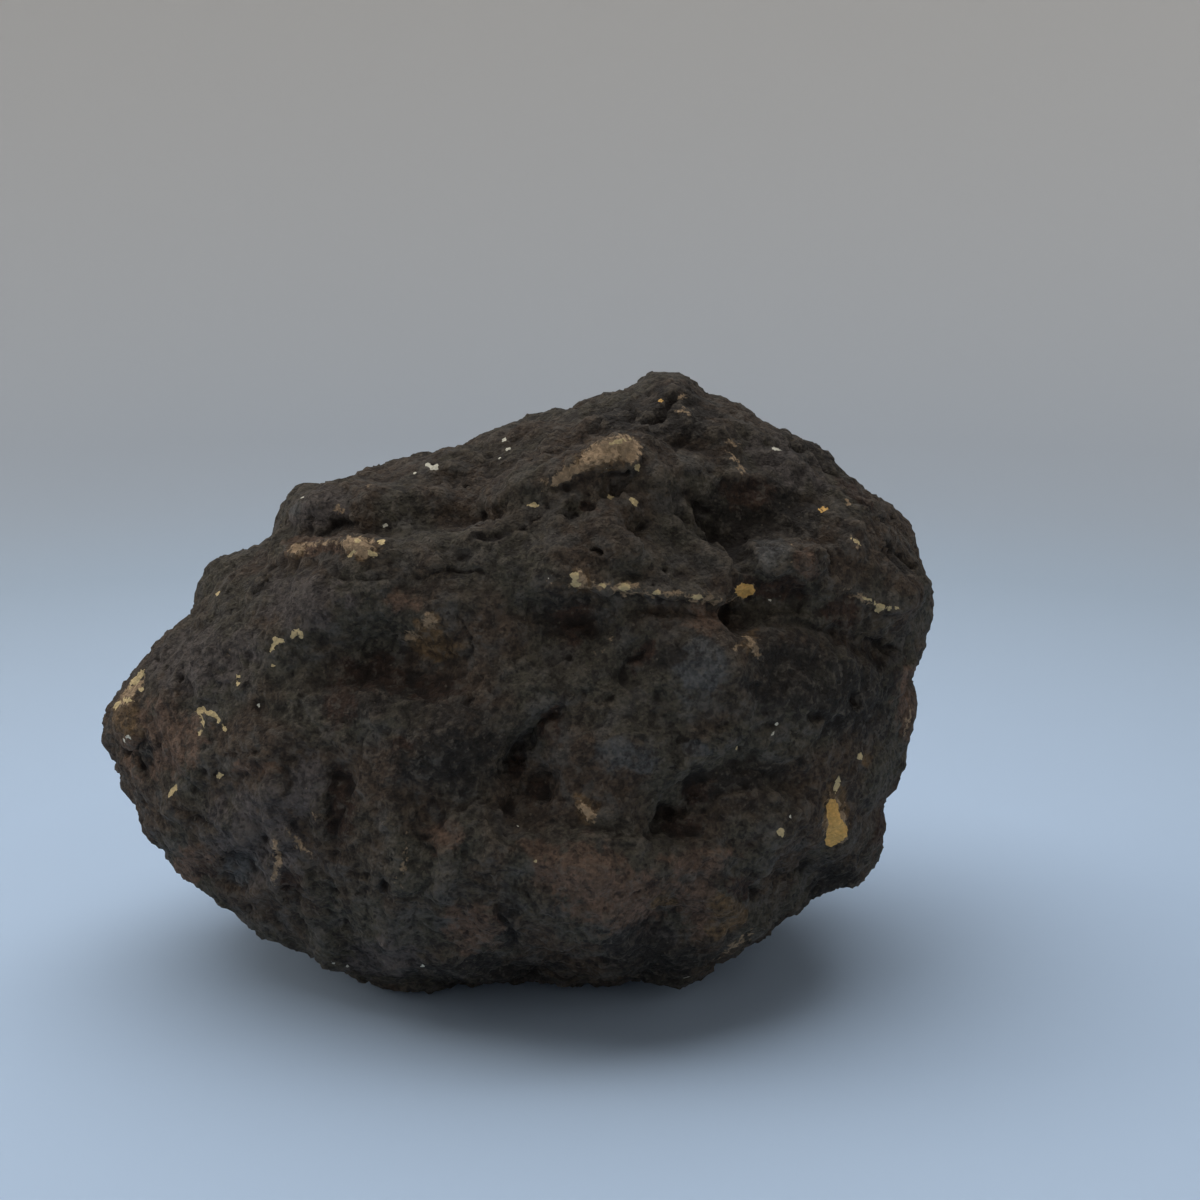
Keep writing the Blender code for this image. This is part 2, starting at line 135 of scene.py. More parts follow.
# %% [markdown]
# ## Where a mark is
# A mark is named by its place on an upright sheet through the stone's middle, in mm to the
# right and up, as it is seen from the eye. Each point of the skin gets its own place on that
# sheet. A mark also has a depth, that of the skin where its middle falls, so that it doesn't
# run on over an edge and streak down a slope behind. The hidden side has a second sheet, seen
# straight from behind.

# %% Places on the front sheet and on the back sheet
RIGHT = np.array((1.0, 0.0, 0.0))
AWAY = np.array((0.0, math.cos(LOOK_DOWN), -math.sin(LOOK_DOWN)))
SEEN_UP = np.array((0.0, math.sin(LOOK_DOWN), math.cos(LOOK_DOWN)))


def read_points(mesh):
    flat = np.empty(len(mesh.vertices) * 3, np.float32)
    mesh.vertices.foreach_get("co", flat)
    return flat.reshape(-1, 3).astype(float) / MM


def front_sheet(points):
    """Right and up on the sheet, and how far past the sheet the point lies."""
    lines = points - EYE
    reach = (MIDDLE - EYE) @ AWAY / (lines @ AWAY)
    crossings = EYE + lines * reach[:, None] - MIDDLE
    return np.column_stack((crossings @ RIGHT, crossings @ SEEN_UP, (points - MIDDLE) @ AWAY))


def back_sheet(points):
    """The same from straight behind, still measured to the front's right."""
    inner = points - MIDDLE
    return np.column_stack((inner @ RIGHT, inner @ SEEN_UP, -inner @ AWAY))


def dome(distance):
    """A smooth hill: 1 at the middle, and 0 from a distance of 1 on."""
    return np.clip(1 - distance**2, 0, 1) ** 2


# %% How strongly a mark shows at each point
DEPTH_SLACK = 2.0  # mm that a mark may reach deeper or nearer than its middle, besides its own size
FIND_WITHIN = 1.5  # mm around a mark's middle in which its depth is looked up


def depth_at(places, right, up):
    """The depth of the nearest skin at a place of the sheet, or beside it if it is off the stone."""
    miss = np.hypot(places[:, 0] - right, places[:, 1] - up)
    reached = miss < max(FIND_WITHIN, miss.min() + 0.3)
    return places[reached, 2].min()


def oval(places, right, up, half_length, half_width, turn=0):
    """How far each point is from an oval's middle: 1 on its edge, and less inside."""
    x, y = places[:, 0] - right, places[:, 1] - up
    cos, sin = math.cos(math.radians(turn)), math.sin(math.radians(turn))
    return np.hypot((x * cos + y * sin) / half_length, (y * cos - x * sin) / half_width)


def mark(places, right, up, half_length, half_width, turn=0):
    """1 in the middle of a mark, 0 on its edge, and down to -1 around it."""
    size = max(half_length, half_width)
    gap = np.abs(places[:, 2] - depth_at(places, right, up)) - DEPTH_SLACK - size
    distance = oval(places, right, up, half_length, half_width, turn)
    return np.clip(1 - distance - np.maximum(gap, 0) / size, -1, 1)


# %% Waves that make drawn edges ragged
AT_ONCE = 6  # waves that one swell is made of
PUSHES = ((0.45, 3.4, 0), (0.18, 1.1, 12))  # the push and the waves' size in mm, and the first wave

waves = np.random.default_rng(5)
WAVE_TURNS = waves.normal(size=(24, 3))
WAVE_STARTS = waves.uniform(0, math.tau, 24)


def swell(points, size, first):
    """A smooth number around 0 at each point, in waves of about size mm."""
    total = np.zeros(len(points))
    chosen = slice(first, first + AT_ONCE)
    for turn, start in zip(WAVE_TURNS[chosen], WAVE_STARTS[chosen]):
        total += np.sin(points @ turn * (4.0 / size) + start)
    return total / 3


def ragged(sheet, points):
    """The sheet's places pushed about, so that what is drawn by them gets a ragged edge."""
    pushed = sheet.copy()
    for column in (0, 1):
        for push, size, first in PUSHES:
            pushed[:, column] += push * swell(points, size, first + AT_ONCE * column)
    return pushed


# %% [markdown]
# ## Stains and calm patches
# The crust isn't one colour. Iron has stained its hollows brown and ochre, the belly is
# pinkish, the shoulder and the lower left are a lilac grey, and two patches right of the
# middle are smooth and bluish, as if polished by handling. Each stain is a list of soft ovals:
# right, up, half length and half width in mm, then the turn in degrees if there is one. The
# hidden side continues them with stains of the same kinds. The last three kinds aren't
# colours: they say where the relief is calm, pitted or streaked.
# The kind called shade is not a stain but painted shade: it darkens the right side, the bottom, the
# recesses and the summit.

# %% Stains seen from the front and from behind
FRONT_STAINS_AND_SHADE = {
    "ochre": [
        (-10.8, 3.6, 4.4, 3.2), (-12.2, 6.4, 2.6, 2), (8.8, -18.6, 3.2, 2.2, -50),
        (11.5, 29, 6.8, 3, 22), (-52.4, -6, 3, 4, 20), (42.3, -18, 2.2, 5), (31, 4.2, 1.2, 2.6, -22),
        (28, -33, 4, 4), (46.8, -11.5, 1, 1.4), (-29.6, 16.6, 2.2, 1.2), (-20.8, 16.6, 3, 1.8),
        (8.4, 12.2, 2.4, 1.4, -30), (20, -31, 3, 2),
    ],
    "rust": [
        (-20, -0.4, 6.5, 3.6), (-11.5, -2.2, 5, 2.4), (4.4, -6.8, 2, 4, -10), (-0.4, -13, 2, 2.4, -10),
        (-23.6, -18, 2.6, 7.2, -3), (22, -20.7, 3.4, 1.8), (30.6, -28.6, 3.6, 2.2), (7.4, 6.6, 4.6, 4),
        (34, 11.2, 7, 2.2, -8), (31, 23.8, 5, 3.6), (50, -20, 3.5, 6, -20), (9.2, 22.4, 1.6, 1.6),
        (-24, -4.5, 3.4, 4.2), (43, 8, 4.4, 2.4), (-15.8, -9.6, 1.8, 1.2), (3.2, -15.6, 1.8, 2),
        (-30.5, -28, 2.2, 2.6), (-42, -26.4, 2.4, 1.6), (24, -16, 3, 1.8, 30), (16.6, 2, 1.6, 3, -35),
        (45, 24, 4, 2, -40),
    ],
    "pink": [
        (8.6, -26.6, 8.6, 6), (13, -30, 10, 6), (-6, -34.4, 5.4, 4.6), (24, -31, 4, 6, 20),
        (24, -25, 7, 2.6, 5), (2, -23.6, 4, 2), (-48, -9, 8, 7), (-26, 17, 7, 2.2),
        (38.3, 14.8, 2.6, 3), (-15, 9.6, 4, 2.4), (-9.6, -22.4, 3.4, 3.4), (22, 38, 3, 1.6),
        (24.6, 7, 3.6, 2.2), (-34.6, -12.8, 4.4, 1.4), (52, -4, 2, 7), (-44, -26, 5, 3, 40),
    ],
    "lilac": [
        (-41.9, 1.6, 10, 6, 10), (-28.5, 9.4, 8, 5), (-28, -15, 3.6, 6), (-34.4, -21.8, 10, 9),
        (-18, -38.6, 8, 4), (16.4, -36.2, 6, 5), (-26.5, 22, 6, 3.6, 10), (36, 28, 8, 4, -30),
        (16.4, 19.7, 1.6, 1), (0.6, -11.4, 2, 1, 20),
    ],
    "bluish": [
        (14.2, -11.2, 5.8, 3.4), (23.8, -10.4, 3.2, 1.4), (24.3, 0.5, 4.8, 6.6), (33.4, 16, 3.4, 3.6),
        (-37, -26.4, 3.2, 3), (-31, 22.4, 2.4, 2),
    ],
    # painted shade on the right side, along the bottom, in the recesses and on the summit
    "shade": [
        (-9, -10, 10, 8), (44, -3, 9, 8), (21, 34, 7, 4), (14.5, 34.2, 6.5, 3.2, 10), (36, 0, 8, 7),
        (33, 22.5, 9, 4.4, -15), (22, 37, 5, 3), (-5, -40, 14, 3), (20, -39, 8, 3, 10),
        (31, -14, 9, 2, 15), (2.6, 36, 5, 2.4, 20), (40, 30, 5, 3, -35), (30, 21, 8, 7),
        (29, 19, 5.4, 6), (37, 21, 5, 3.4), (-14, -1.8, 7, 2.6), (5.8, 8, 5, 3.4), (3.2, -15.6, 2.2, 2),
        (-1, -33, 2.2, 6), (16, -37, 7, 5), (-49.8, -11, 1.6, 4), (-24.6, 19.4, 5, 1.2, 12),
        (20, 2, 3, 3), (48.6, -6.8, 2.4, 3), (27, -14, 7, 2.4, 12), (-4, 18, 3.4, 1.4),
        (35, 11, 8, 1.8), (42, -28, 5, 4, 30), (51, 15, 3, 1.6, -34), (-35, 11.6, 2.6, 1.4, 60),
        (-20.5, -4.4, 5, 3),
    ],
    "calm": [
        (24.3, 0, 5.4, 7.6), (14.4, -11.2, 6.4, 3.8), (33.8, 16.4, 3.6, 3.2), (29.5, 20.5, 7, 4.6, -10),
        (8.6, -26.6, 8, 6), (-28, 9, 7, 5), (-28, -15, 3, 5), (-27.5, 22, 5, 3),
    ],
    "pitted": [
        (-44, -8, 12, 14), (-33, -27, 12, 9), (-20, 21, 18, 8, 10), (13, 22, 14, 7), (30, -12, 12, 8),
        (-39, 12, 8, 5, 40), (-20, -27.5, 5, 4),
    ],
    "streaked": [
        (-28, -26, 12, 12), (-12, -26, 8, 10), (2, -32, 8, 8), (22, -33, 10, 8),
    ],
}
BACK_STAINS_AND_SHADE = {
    "ochre": [
        (-12, -2, 6, 4, 20), (26, 20, 5, 3), (40, -14, 3, 5), (-30, -20, 4, 2.4, 30),
    ],
    "rust": [
        (20, 12, 12, 7, -25), (-20, -16, 8, 5, 40), (4, -6, 6, 4), (-40, 2, 6, 8), (10, 30, 5, 2.4),
        (28, -22, 5, 3),
    ],
    "pink": [
        (8, -24, 14, 7, 4), (-30, 12, 9, 5), (44, 2, 6, 8),
    ],
    "lilac": [
        (-34, -4, 12, 10), (0, 24, 12, 6), (34, -8, 9, 9),
    ],
    "bluish": [
        (-8, 10, 9, 6, 10), (24, 8, 4, 3, 20), (-18, -30, 6, 3),
    ],
    # painted shade on the hidden side
    "shade": [
        (6, 3, 8, 3, 10), (-24, -8, 6, 4, -20), (30, 2, 5, 7), (-4, -14, 8, 3, 5), (-36, 14, 6, 2, 30),
        (16, -34, 9, 5),
    ],
    "calm": [
        (-8, 10, 11, 7, 10), (24, 8, 5, 4, 20), (8, -24, 14, 7, 4),
    ],
    "pitted": [
        (30, -4, 14, 12), (-28, -12, 14, 9, 30), (0, 26, 18, 7),
    ],
    "streaked": [
        (-6, -28, 16, 9), (30, -26, 9, 9),
    ],
}


def stain_strength(name, front, back):
    """How strongly a kind of stain shows at each point, 0 to 1."""
    strength = np.zeros(len(front))
    for places, stains in ((front, FRONT_STAINS_AND_SHADE), (back, BACK_STAINS_AND_SHADE)):
        for stain in stains[name]:
            strength = np.maximum(strength, mark(places, *stain))
    return strength * (2 - strength)


def store(mesh, name, values):
    """Keeps one number for each point of the mesh, under a name that nodes can read."""
    attribute = mesh.attributes.get(name) or mesh.attributes.new(name, "FLOAT", "POINT")
    attribute.data.foreach_set("value", values.astype(np.float32))


# %% Stains that the relief needs
skin_points = read_points(stone.data)
skin_front = ragged(front_sheet(skin_points), skin_points)
skin_back = ragged(back_sheet(skin_points), skin_points)
for name in ("calm", "pitted", "streaked"):
    strength = stain_strength(name, skin_front, skin_back)
    store(stone.data, name, strength)
    print(name, "covers", round(100 * float((strength > 0.1).mean())), "% of the skin")

# %% [markdown]
# ## The marks one would know it by
# Noise alone would make a stone of the right kind, but not this stone. One knows it by its
# crevices, its small ledges, a few holes and some bumps, 1 to 8 mm in size. Each is drawn as a
# line or an oval on the sheet and kept as a rise or a cut in mm. The relief below carries it
# out together with its own noise, so that both sink and stand out of the same skin.

# %% Drawn lines: half width, rise in mm, then the places they run through
FRONT_LINES = {
    "ledge": [  # what lies to the left of the line stands higher than what lies to its right
        (0.6, 1.5, (5.4, 13.4), (7.4, 12), (9, 11.2), (12.5, 10.7), (16, 10.5), (21.5, 9.9), (27, 9.2),
         (31, 8.4)),
        (0.8, 2.2, (29.6, 10.8), (28.6, 13.2), (27.8, 15.5), (26, 16.8), (24.4, 18.2), (23.3, 20.2),
         (22.6, 22.2), (21, 23.6)),
        (0.6, 0.9, (30.5, 18.9), (30.3, 17), (31, 15), (33.3, 13), (35, 12.6), (36.5, 14), (37, 16),
         (35.6, 18.2), (33.6, 19.4), (32, 19.7), (30.5, 18.9)),
        (0.6, 1.3, (3.4, 25), (6.5, 25.7), (9.5, 26.5), (13, 26.9), (15.6, 27.6), (16.8, 29.6)),
        (0.5, 1.1, (41.5, 11.6), (43, 11), (45.5, 9.7), (47.5, 8.9), (50, 8), (53, 7.8)),
        (0.5, 1.2, (-18, 15.6), (-20.5, 17.2), (-23, 17.9), (-26, 18), (-29.5, 17.8), (-32, 17.2),
         (-34.5, 14.2)),
        (0.6, 0.9, (-25.8, -25.5), (-25.4, -21), (-25.3, -16), (-25.6, -11.5)),
        (0.6, 0.9, (36.8, -11.8), (32, -12.2), (27, -12.8), (24, -14.6), (22, -17.2)),
        (0.5, 0.8, (-8.4, 24.2), (-6, 24.4), (-4.4, 26.2), (-4.8, 28.2)),
        (0.6, 0.9, (18.6, 30.6), (21.8, 31.2), (25, 30.2), (29, 28)),
        (0.5, 0.8, (-46.5, 3.6), (-43.5, 6), (-40, 8), (-37, 9.6)),
        (0.6, 1.1, (28, -24.5), (24, -22.6), (19, -21.8), (14, -21.8), (8, -21.2), (0, -21)),
        (0.5, 0.9, (2, -21), (-2, -18.6), (-6, -17.6), (-9.4, -19.6), (-12.6, -24)),
        (0.5, 0.8, (33, -24), (31.6, -27.5), (32.4, -31)),
        (0.5, 0.7, (-2, 20), (-6, 19), (-10, 18.6), (-14, 19.4)),
        (0.5, 0.8, (37.5, 23.5), (41, 24.5), (44.5, 23.2), (48, 20.4)),
    ],
    "crack": [
        (0.4, -0.5, (-27.5, 18.6), (-25, 19.9), (-22.5, 19.6), (-20.4, 20.8)),
        (0.4, -0.7, (-33.2, 14.5), (-35, 11.5), (-36.5, 10.3)),
        (0.3, -0.5, (-42.8, 9.3), (-41.5, 9.9)),
        (0.3, -0.5, (-45, 5.8), (-43.9, 6.6)),
        (0.35, -0.6, (-39.5, -11.2), (-36, -10.8), (-34.5, -10.2)),
        (0.6, -0.7, (-41.2, -14.2), (-39.8, -13.2)),
        (0.35, -0.7, (0.3, 18.5), (1, 19.6), (2.5, 20.6), (3.3, 21.3)),
        (0.35, -0.6, (9, 15.2), (11.5, 15.1), (12.7, 15.8)),
        (0.35, -0.6, (17.8, 11.4), (19, 12)),
        (0.7, -1.3, (15.2, 36.2), (15, 33.2)),
        (0.6, -1.1, (16.5, 33), (18.5, 34), (20.5, 35.5)),
        (0.45, -0.7, (8.5, 24), (11, 23.5)),
        (0.6, -0.5, (17.6, 3.8), (16, 1.8), (14.5, 0.5), (13, -1.2)),
        (0.35, -0.6, (31.4, 16.1), (33.3, 17.1)),
        (0.45, -0.7, (40, 17.5), (41.2, 15), (42, 14.2)),
        (0.7, -1.4, (48.6, 16.8), (53.2, 13.6)),
        (0.5, -0.8, (45.3, 5.2), (48, 3.5), (50.5, 3.2)),
        (0.4, -0.5, (-7.5, -7.5), (-6, -6.8)),
        (0.35, -0.6, (15.2, -30.1), (17.2, -29.6)),
        (0.5, -0.8, (11.2, -22), (16.2, -22.2)),
        (0.4, -0.6, (-19.8, -4.9), (-18.6, -4.3), (-17.6, -5.1)),
        (0.7, -0.9, (-3.4, -31), (-1.4, -34), (0.4, -38)),
        (0.8, -0.9, (-50.4, -7), (-50.8, -10.5), (-49.4, -14.2)),
        (0.5, -0.8, (9.4, 32.2), (12.6, 32.4)),
        (0.5, -0.8, (36, 31.5), (40.5, 28), (43, 25.6)),
        (0.5, -0.7, (-14.5, 12.6), (-9, 13.6), (-3.5, 12.6)),
        (0.45, -0.6, (-24.5, 13), (-20, 12.4), (-16, 13.2)),
        (0.6, -0.8, (-8, 8.4), (-6.4, 4.6), (-7, 0.6)),
        (0.5, -0.6, (-44.5, -19), (-40, -21.5), (-37.5, -25)),
    ],
    "ridge": [
        (1.2, 0.8, (-32.6, -21.5), (-32.4, -26), (-31.6, -30)),
        (1, 0.7, (-31.6, -20.6), (-29.5, -22.5), (-27.6, -25.4)),
        (0.8, 0.6, (-15.9, -23.6), (-15.3, -28)),
        (1.1, 0.7, (-11.8, -19.6), (-9.4, -25.5)),
        (1, 0.6, (-20.5, -20), (-18.6, -26), (-19.6, -31)),
        (1.2, 0.7, (-6, -17), (-3.6, -22), (-4.6, -27.5)),
        (1.1, 0.7, (7.2, -16.4), (9.6, -19), (13.5, -19.6)),
        (1.4, 0.8, (3, 28.4), (5.6, 30.6), (8.6, 31.2)),
        (1.2, 0.7, (-16.6, 22.8), (-12, 23.8), (-9.6, 22.8)),
        (1.2, 0.6, (25, 25.6), (29, 26.4), (33, 25.2)),
        (1.2, 0.8, (33, 6.6), (37, 7.4), (41, 6.2)),
        (1.2, 0.7, (27, -17.6), (31.5, -16.4), (36, -17.4)),
    ],
}

# %% Drawn ovals: right, up, half length, half width and rise in mm, then the turn if any
FRONT_OVALS = {
    "hole": [
        (-27.5, 20.5, 0.6, 0.5, -0.5), (-28.1, 19.5, 0.8, 0.4, -0.4), (-17.1, 17.1, 0.7, 0.7, -1),
        (-38.3, 13.8, 0.6, 0.5, -0.8), (-38, 12.8, 0.6, 0.5, -0.8, 30), (-39.3, 13.9, 0.5, 0.5, -0.7),
        (-37.3, 6.2, 0.6, 0.5, -0.7), (-35.9, 4.9, 0.5, 0.5, -0.6), (-47.9, 1.2, 0.5, 0.5, -0.6),
        (-45.5, -1, 0.6, 0.5, -0.7), (-51.8, -11, 0.6, 0.6, -0.8), (-50.3, -12.2, 0.6, 0.5, -0.8),
        (-6.8, 25.5, 0.8, 0.6, -0.9), (14.4, 27.1, 0.8, 0.7, -1.1), (9.2, 22.4, 1.3, 1, -0.7),
        (-4.4, 21, 0.7, 0.6, -0.9), (10.3, 16.3, 1, 0.75, -1.3), (19, 13.4, 0.6, 0.5, -0.8),
        (16.4, 19.7, 1.6, 1, -0.9), (20, 35.6, 1, 0.5, -0.9, 40), (28.6, 34.2, 0.6, 0.5, -0.8),
        (7.2, 2.3, 0.7, 0.6, -0.9), (3.4, -15.6, 1.5, 1.3, -1, 30), (22, -9, 1.1, 0.9, -0.4),
        (30.6, -29.4, 1.9, 1.3, -1), (-33.5, -22.4, 0.6, 0.5, -0.7), (-36, -31.6, 0.4, 0.9, -0.8),
        (-14.5, -38.5, 0.8, 0.6, -0.7), (-20.5, -27, 0.8, 0.6, -0.9), (-18, -28.5, 0.7, 0.6, -0.8),
        (-4.2, 18, 2.6, 0.9, -1.1, 12), (-44.6, -2.6, 1.8, 1.6, -0.7), (-29.6, 4.9, 0.5, 0.5, -0.6),
        (-23.5, 13.4, 1.4, 0.9, -0.7, 20), (24.5, 22, 1.5, 1, -0.8, -40),
        (49.4, 20.4, 1.4, 0.8, -0.9, -50), (-6.6, -3.6, 1.2, 0.9, -0.6), (12, -3.6, 1, 0.8, -0.6),
        (27.4, -7.4, 0.9, 0.7, -0.7), (39.6, -6, 1.4, 0.9, -0.9, 30), (38, -26, 1.6, 1, -0.9, 40),
        (45, -3.6, 1, 1.2, -0.8),
    ],
    "bowl": [
        (-0.2, -13.2, 2.2, 2.4, -0.3), (2.4, -10.8, 2, 1.4, 0.4, 20), (21.4, -20.4, 3.4, 2.2, 1.6),
        (-37, -26.5, 3.8, 3.6, -1), (-30.4, -27.8, 2.2, 2.6, -1), (27.8, 18.8, 2.6, 2.2, 1),
        (8, 6.6, 4.8, 3.8, -0.9), (-13, -2, 5.4, 2.8, -0.6), (4.4, -6.8, 2.6, 4.4, 1.3, -12),
        (-20, -1, 5, 3, -0.6), (35, 10, 6, 2.2, -0.8, -8), (17, 24.5, 2.6, 1.8, -0.8),
        (-8, 15.8, 3.4, 1.6, -0.7), (-36, 2, 3.4, 3, -0.5), (42, -8, 3, 3.4, -0.8),
        (46, 22, 2.6, 1.6, -0.8, -45), (-14, 20.6, 2.6, 1.4, -0.8, 10), (30, -23, 3, 1.8, -0.7, 20),
    ],
    "bump": [
        (-19, -6.3, 1.5, 1.3, 0.9), (-12, 7, 2, 1.6, 0.9), (-14.6, 4.7, 1.5, 1.1, 0.6),
        (12, 30.4, 3.2, 1.4, 1, 15), (6.6, 27.2, 2.4, 1, 0.7, 20), (33.6, 16.6, 2.8, 2.6, 0.2),
        (38.2, 15, 1.8, 2.4, 0.4), (-27.6, 22, 4.6, 3, 0.9, 8), (-35.4, -12.9, 2.2, 1, 0.6),
        (-31.8, -13.2, 1.8, 1, 0.6), (24.2, 6.6, 2.8, 2, 0.6), (48.5, 8.6, 1.2, 0.8, 0.5),
        (7.8, 12.8, 1.2, 1.2, 0.5), (14.4, 11.2, 1.2, 0.8, 0.4), (10, 34, 3, 2.2, 0.9),
        (20.6, 37, 3.6, 2.4, 0.9), (2, 32, 3.4, 1.8, 0.8, 20), (-5.2, 30.2, 1.7, 1.2, 0.8),
        (26, 31.8, 2.6, 1.8, 0.8, -30), (33.4, 29, 2.6, 1.6, 0.7, -30), (45, 18.8, 2.2, 1.4, 0.8, -40),
        (-29.6, 16.2, 1.8, 1, 0.6), (-20.8, 16.6, 1.6, 0.9, 0.6, -20), (-9, -20, 2.2, 1.8, 0.6),
        (42.4, -20, 1.4, 2.8, 0.7, 10), (36, 24.6, 2, 1.4, 0.6), (0, 25.6, 2.4, 1.4, 0.7, 15),
        (28.4, 7.2, 2.4, 1.8, 1.4),
    ],
}
BACK_LINES = {
    "ledge": [
        (0.6, 1.3, (-22, 4), (-14, 2), (-6, 3.4), (2, 1.8), (8, 4)),
        (0.7, 1.6, (18, -4), (24, 0), (28, 6), (27, 12)),
        (0.6, 1.2, (-38, -8), (-31, -11), (-24, -10)),
        (0.6, 1.1, (2, -12), (9, -14), (16, -13), (22, -16)),
        (0.5, 1, (4, 26), (-3, 24), (-9, 25)),
    ],
    "crack": [
        (0.5, -0.9, (30, 20), (34, 16), (36, 11)),
        (0.4, -0.7, (-18, 18), (-14, 20), (-8, 19)),
        (0.6, -1, (-2, -4), (0, -8), (-1, -12)),
        (0.5, -0.8, (-30, 6), (-26, 9), (-24, 13)),
        (0.5, -0.8, (36, -12), (40, -8)),
    ],
    "ridge": [
        (1.2, 0.8, (-12, -18), (-9, -24), (-10, -31)),
        (1.1, 0.7, (18, -22), (20, -28)),
        (1.2, 0.8, (8, 14), (13, 17), (19, 17)),
    ],
}
BACK_OVALS = {
    "hole": [
        (-16, -4, 1.6, 1.2, -1.2, 20), (12, 8, 1, 0.8, -1), (-28, -18, 1.8, 1.2, -1.2),
        (32, -2, 1.2, 1, -1), (0, 14, 0.8, 0.7, -0.8), (-40, -2, 1, 0.8, -0.9),
        (22, -12, 2.2, 1.4, -1.2, 10), (-6, -22, 0.9, 1.2, -0.9),
    ],
    "bump": [
        (-8, 10, 3, 2.2, 0.9), (20, 24, 2.6, 1.6, 0.8), (-34, 2, 2.6, 2, 0.8), (40, 6, 1.8, 2.4, 0.8),
    ],
}


# %% How a drawn line or oval lifts each point
LEDGE_REACH = 3.4  # mm on both sides over which a ledge levels out
WALL_STEEPNESS = 1.7


def nearest_on_line(places, line):
    """How far each place is from the line, on which side (1 is left), and how far along, 0 to 1."""
    gap = np.full(len(places), np.inf)
    side = np.ones(len(places))
    along = np.zeros(len(places))
    for number, (start, end) in enumerate(zip(line, line[1:])):
        run = np.subtract(end, start)
        inner = places[:, :2] - start
        share = np.clip(inner @ run / (run @ run), 0, 1)
        miss = inner - share[:, None] * run
        here = np.hypot(miss[:, 0], miss[:, 1])
        nearer = here < gap
        gap[nearer] = here[nearer]
        side[nearer] = np.sign(run[0] * inner[:, 1] - run[1] * inner[:, 0])[nearer]
        along[nearer] = (number + share[nearer]) / (len(line) - 1)
    return gap, side, along


def line_rise(places, kind, half_width, height, line):
    gap, side, along = nearest_on_line(places, line)
    ends = 1.0 if line[0] == line[-1] else np.sqrt(np.clip(5 * along * (1 - along), 0, 1))
    if kind != "ledge":
        return height * ends * dome(gap / half_width)
    step = np.clip(side * gap / half_width, -1, 1)
    return height * ends * step * (0.75 - 0.25 * step**2) * dome(gap / LEDGE_REACH)


def oval_rise(places, kind, right, up, half_length, half_width, height, turn=0):
    distance = oval(places, right, up, half_length, half_width, turn)
    if kind != "hole":
        return height * dome(distance)
    return height * dome(1 - np.clip(WALL_STEEPNESS * (1 - distance), 0, 1))


def drawn_rise(places, facing, lines, ovals):
    """The rise in mm that all drawn lines and ovals together give to each point."""
    rise = np.zeros(len(places))
    jobs = [(line_rise, kind, (half_width, height, line), line, LEDGE_REACH)
            for kind, drawn in lines.items() for half_width, height, *line in drawn]
    jobs += [(oval_rise, kind, shape, [shape[:2]], max(shape[2:4]))
             for kind, drawn in ovals.items() for shape in drawn]
    for worker, kind, sizes, around, reach in jobs:
        low, high = np.min(around, axis=0) - reach, np.max(around, axis=0) + reach
        inside = ((places[:, :2] > low) & (places[:, :2] < high)).all(axis=1) & (facing > 0)
        rise[inside] += worker(places[inside], kind, *sizes)
    return rise * facing


# %% The drawn rise of every point
SQUARE_ON = 0.3  # how squarely a face has to look at the viewer to take the full marks
UPWARD = (0.15, 0.6)  # where a face begins to look up, and over how much more it does so fully

normals = np.empty(len(skin_points) * 3, np.float32)
stone.data.vertex_normals.foreach_get("vector", normals)
normals = normals.reshape(-1, 3).astype(float)
sight = skin_points - EYE
sight /= np.linalg.norm(sight, axis=1)[:, None]
seen_in_front = np.clip(-(normals * sight).sum(axis=1) / SQUARE_ON, 0, 1)
seen_from_behind = np.clip((normals @ AWAY) / SQUARE_ON, 0, 1)
drawn = drawn_rise(skin_front, seen_in_front, FRONT_LINES, FRONT_OVALS)
drawn += drawn_rise(skin_back, seen_from_behind, BACK_LINES, BACK_OVALS)
store(stone.data, "drawn", drawn)
# how far each face looks up, kept for the painted shade on the top
store(stone.data, "upward", np.clip((normals[:, 2] - UPWARD[0]) / UPWARD[1], 0, 1))
print("the drawn marks rise from", round(float(drawn.min()), 2), "to", round(float(drawn.max()), 2), "mm")

# %% [markdown]
# ## A small language for nodes
# Both the relief and the colours are sums and products of noises. Written as nodes one by one
# they would be pages long and hard to check. So one class wraps a socket and lets Python's own
# arithmetic add the Math nodes, and one method adds any other node from its type, its settings
# and what goes into its sockets.

# %% Wires and the bench that they are joined on
def pick(sockets, key):
    """A socket by its number, or the one in use that has that name."""
    if isinstance(key, int):
        return sockets[key]
    return next(socket for socket in sockets if socket.enabled and socket.name == key)


class Bench:
    """A node tree in the making."""

    def __init__(self, tree):
        self.tree = tree

    def node(self, kind, settings=None, sockets=None):
        """Adds a node and returns the wire from its first output in use."""
        node = self.tree.nodes.new(kind)
        for name, value in (settings or {}).items():
            if name == "stops":
                set_stops(node.color_ramp, value)
            else:
                setattr(node, name, value)
        for key, value in (sockets or {}).items():
            socket = pick(node.inputs, key)
            if isinstance(value, Wire):
                self.tree.links.new(value.socket, socket)
            else:
                socket.default_value = value
        outputs = [socket for socket in node.outputs if socket.enabled]
        return Wire(self, outputs[0]) if outputs else node


class Wire:
    """What comes out of a socket. Arithmetic on it adds Math nodes."""

    def __init__(self, bench, socket):
        self.bench = bench
        self.socket = socket

    def output(self, name):
        return Wire(self.bench, pick(self.socket.node.outputs, name))

    def math(self, operation, *values):
        return self.bench.node("ShaderNodeMath", {"operation": operation}, dict(enumerate(values)))


OPERATIONS = {"add": "ADD", "sub": "SUBTRACT", "mul": "MULTIPLY", "truediv": "DIVIDE", "pow": "POWER"}
for word, operation in OPERATIONS.items():
    setattr(Wire, f"__{word}__", lambda self, other, kind=operation: self.math(kind, self, other))
    setattr(Wire, f"__r{word}__", lambda self, other, kind=operation: self.math(kind, other, self))


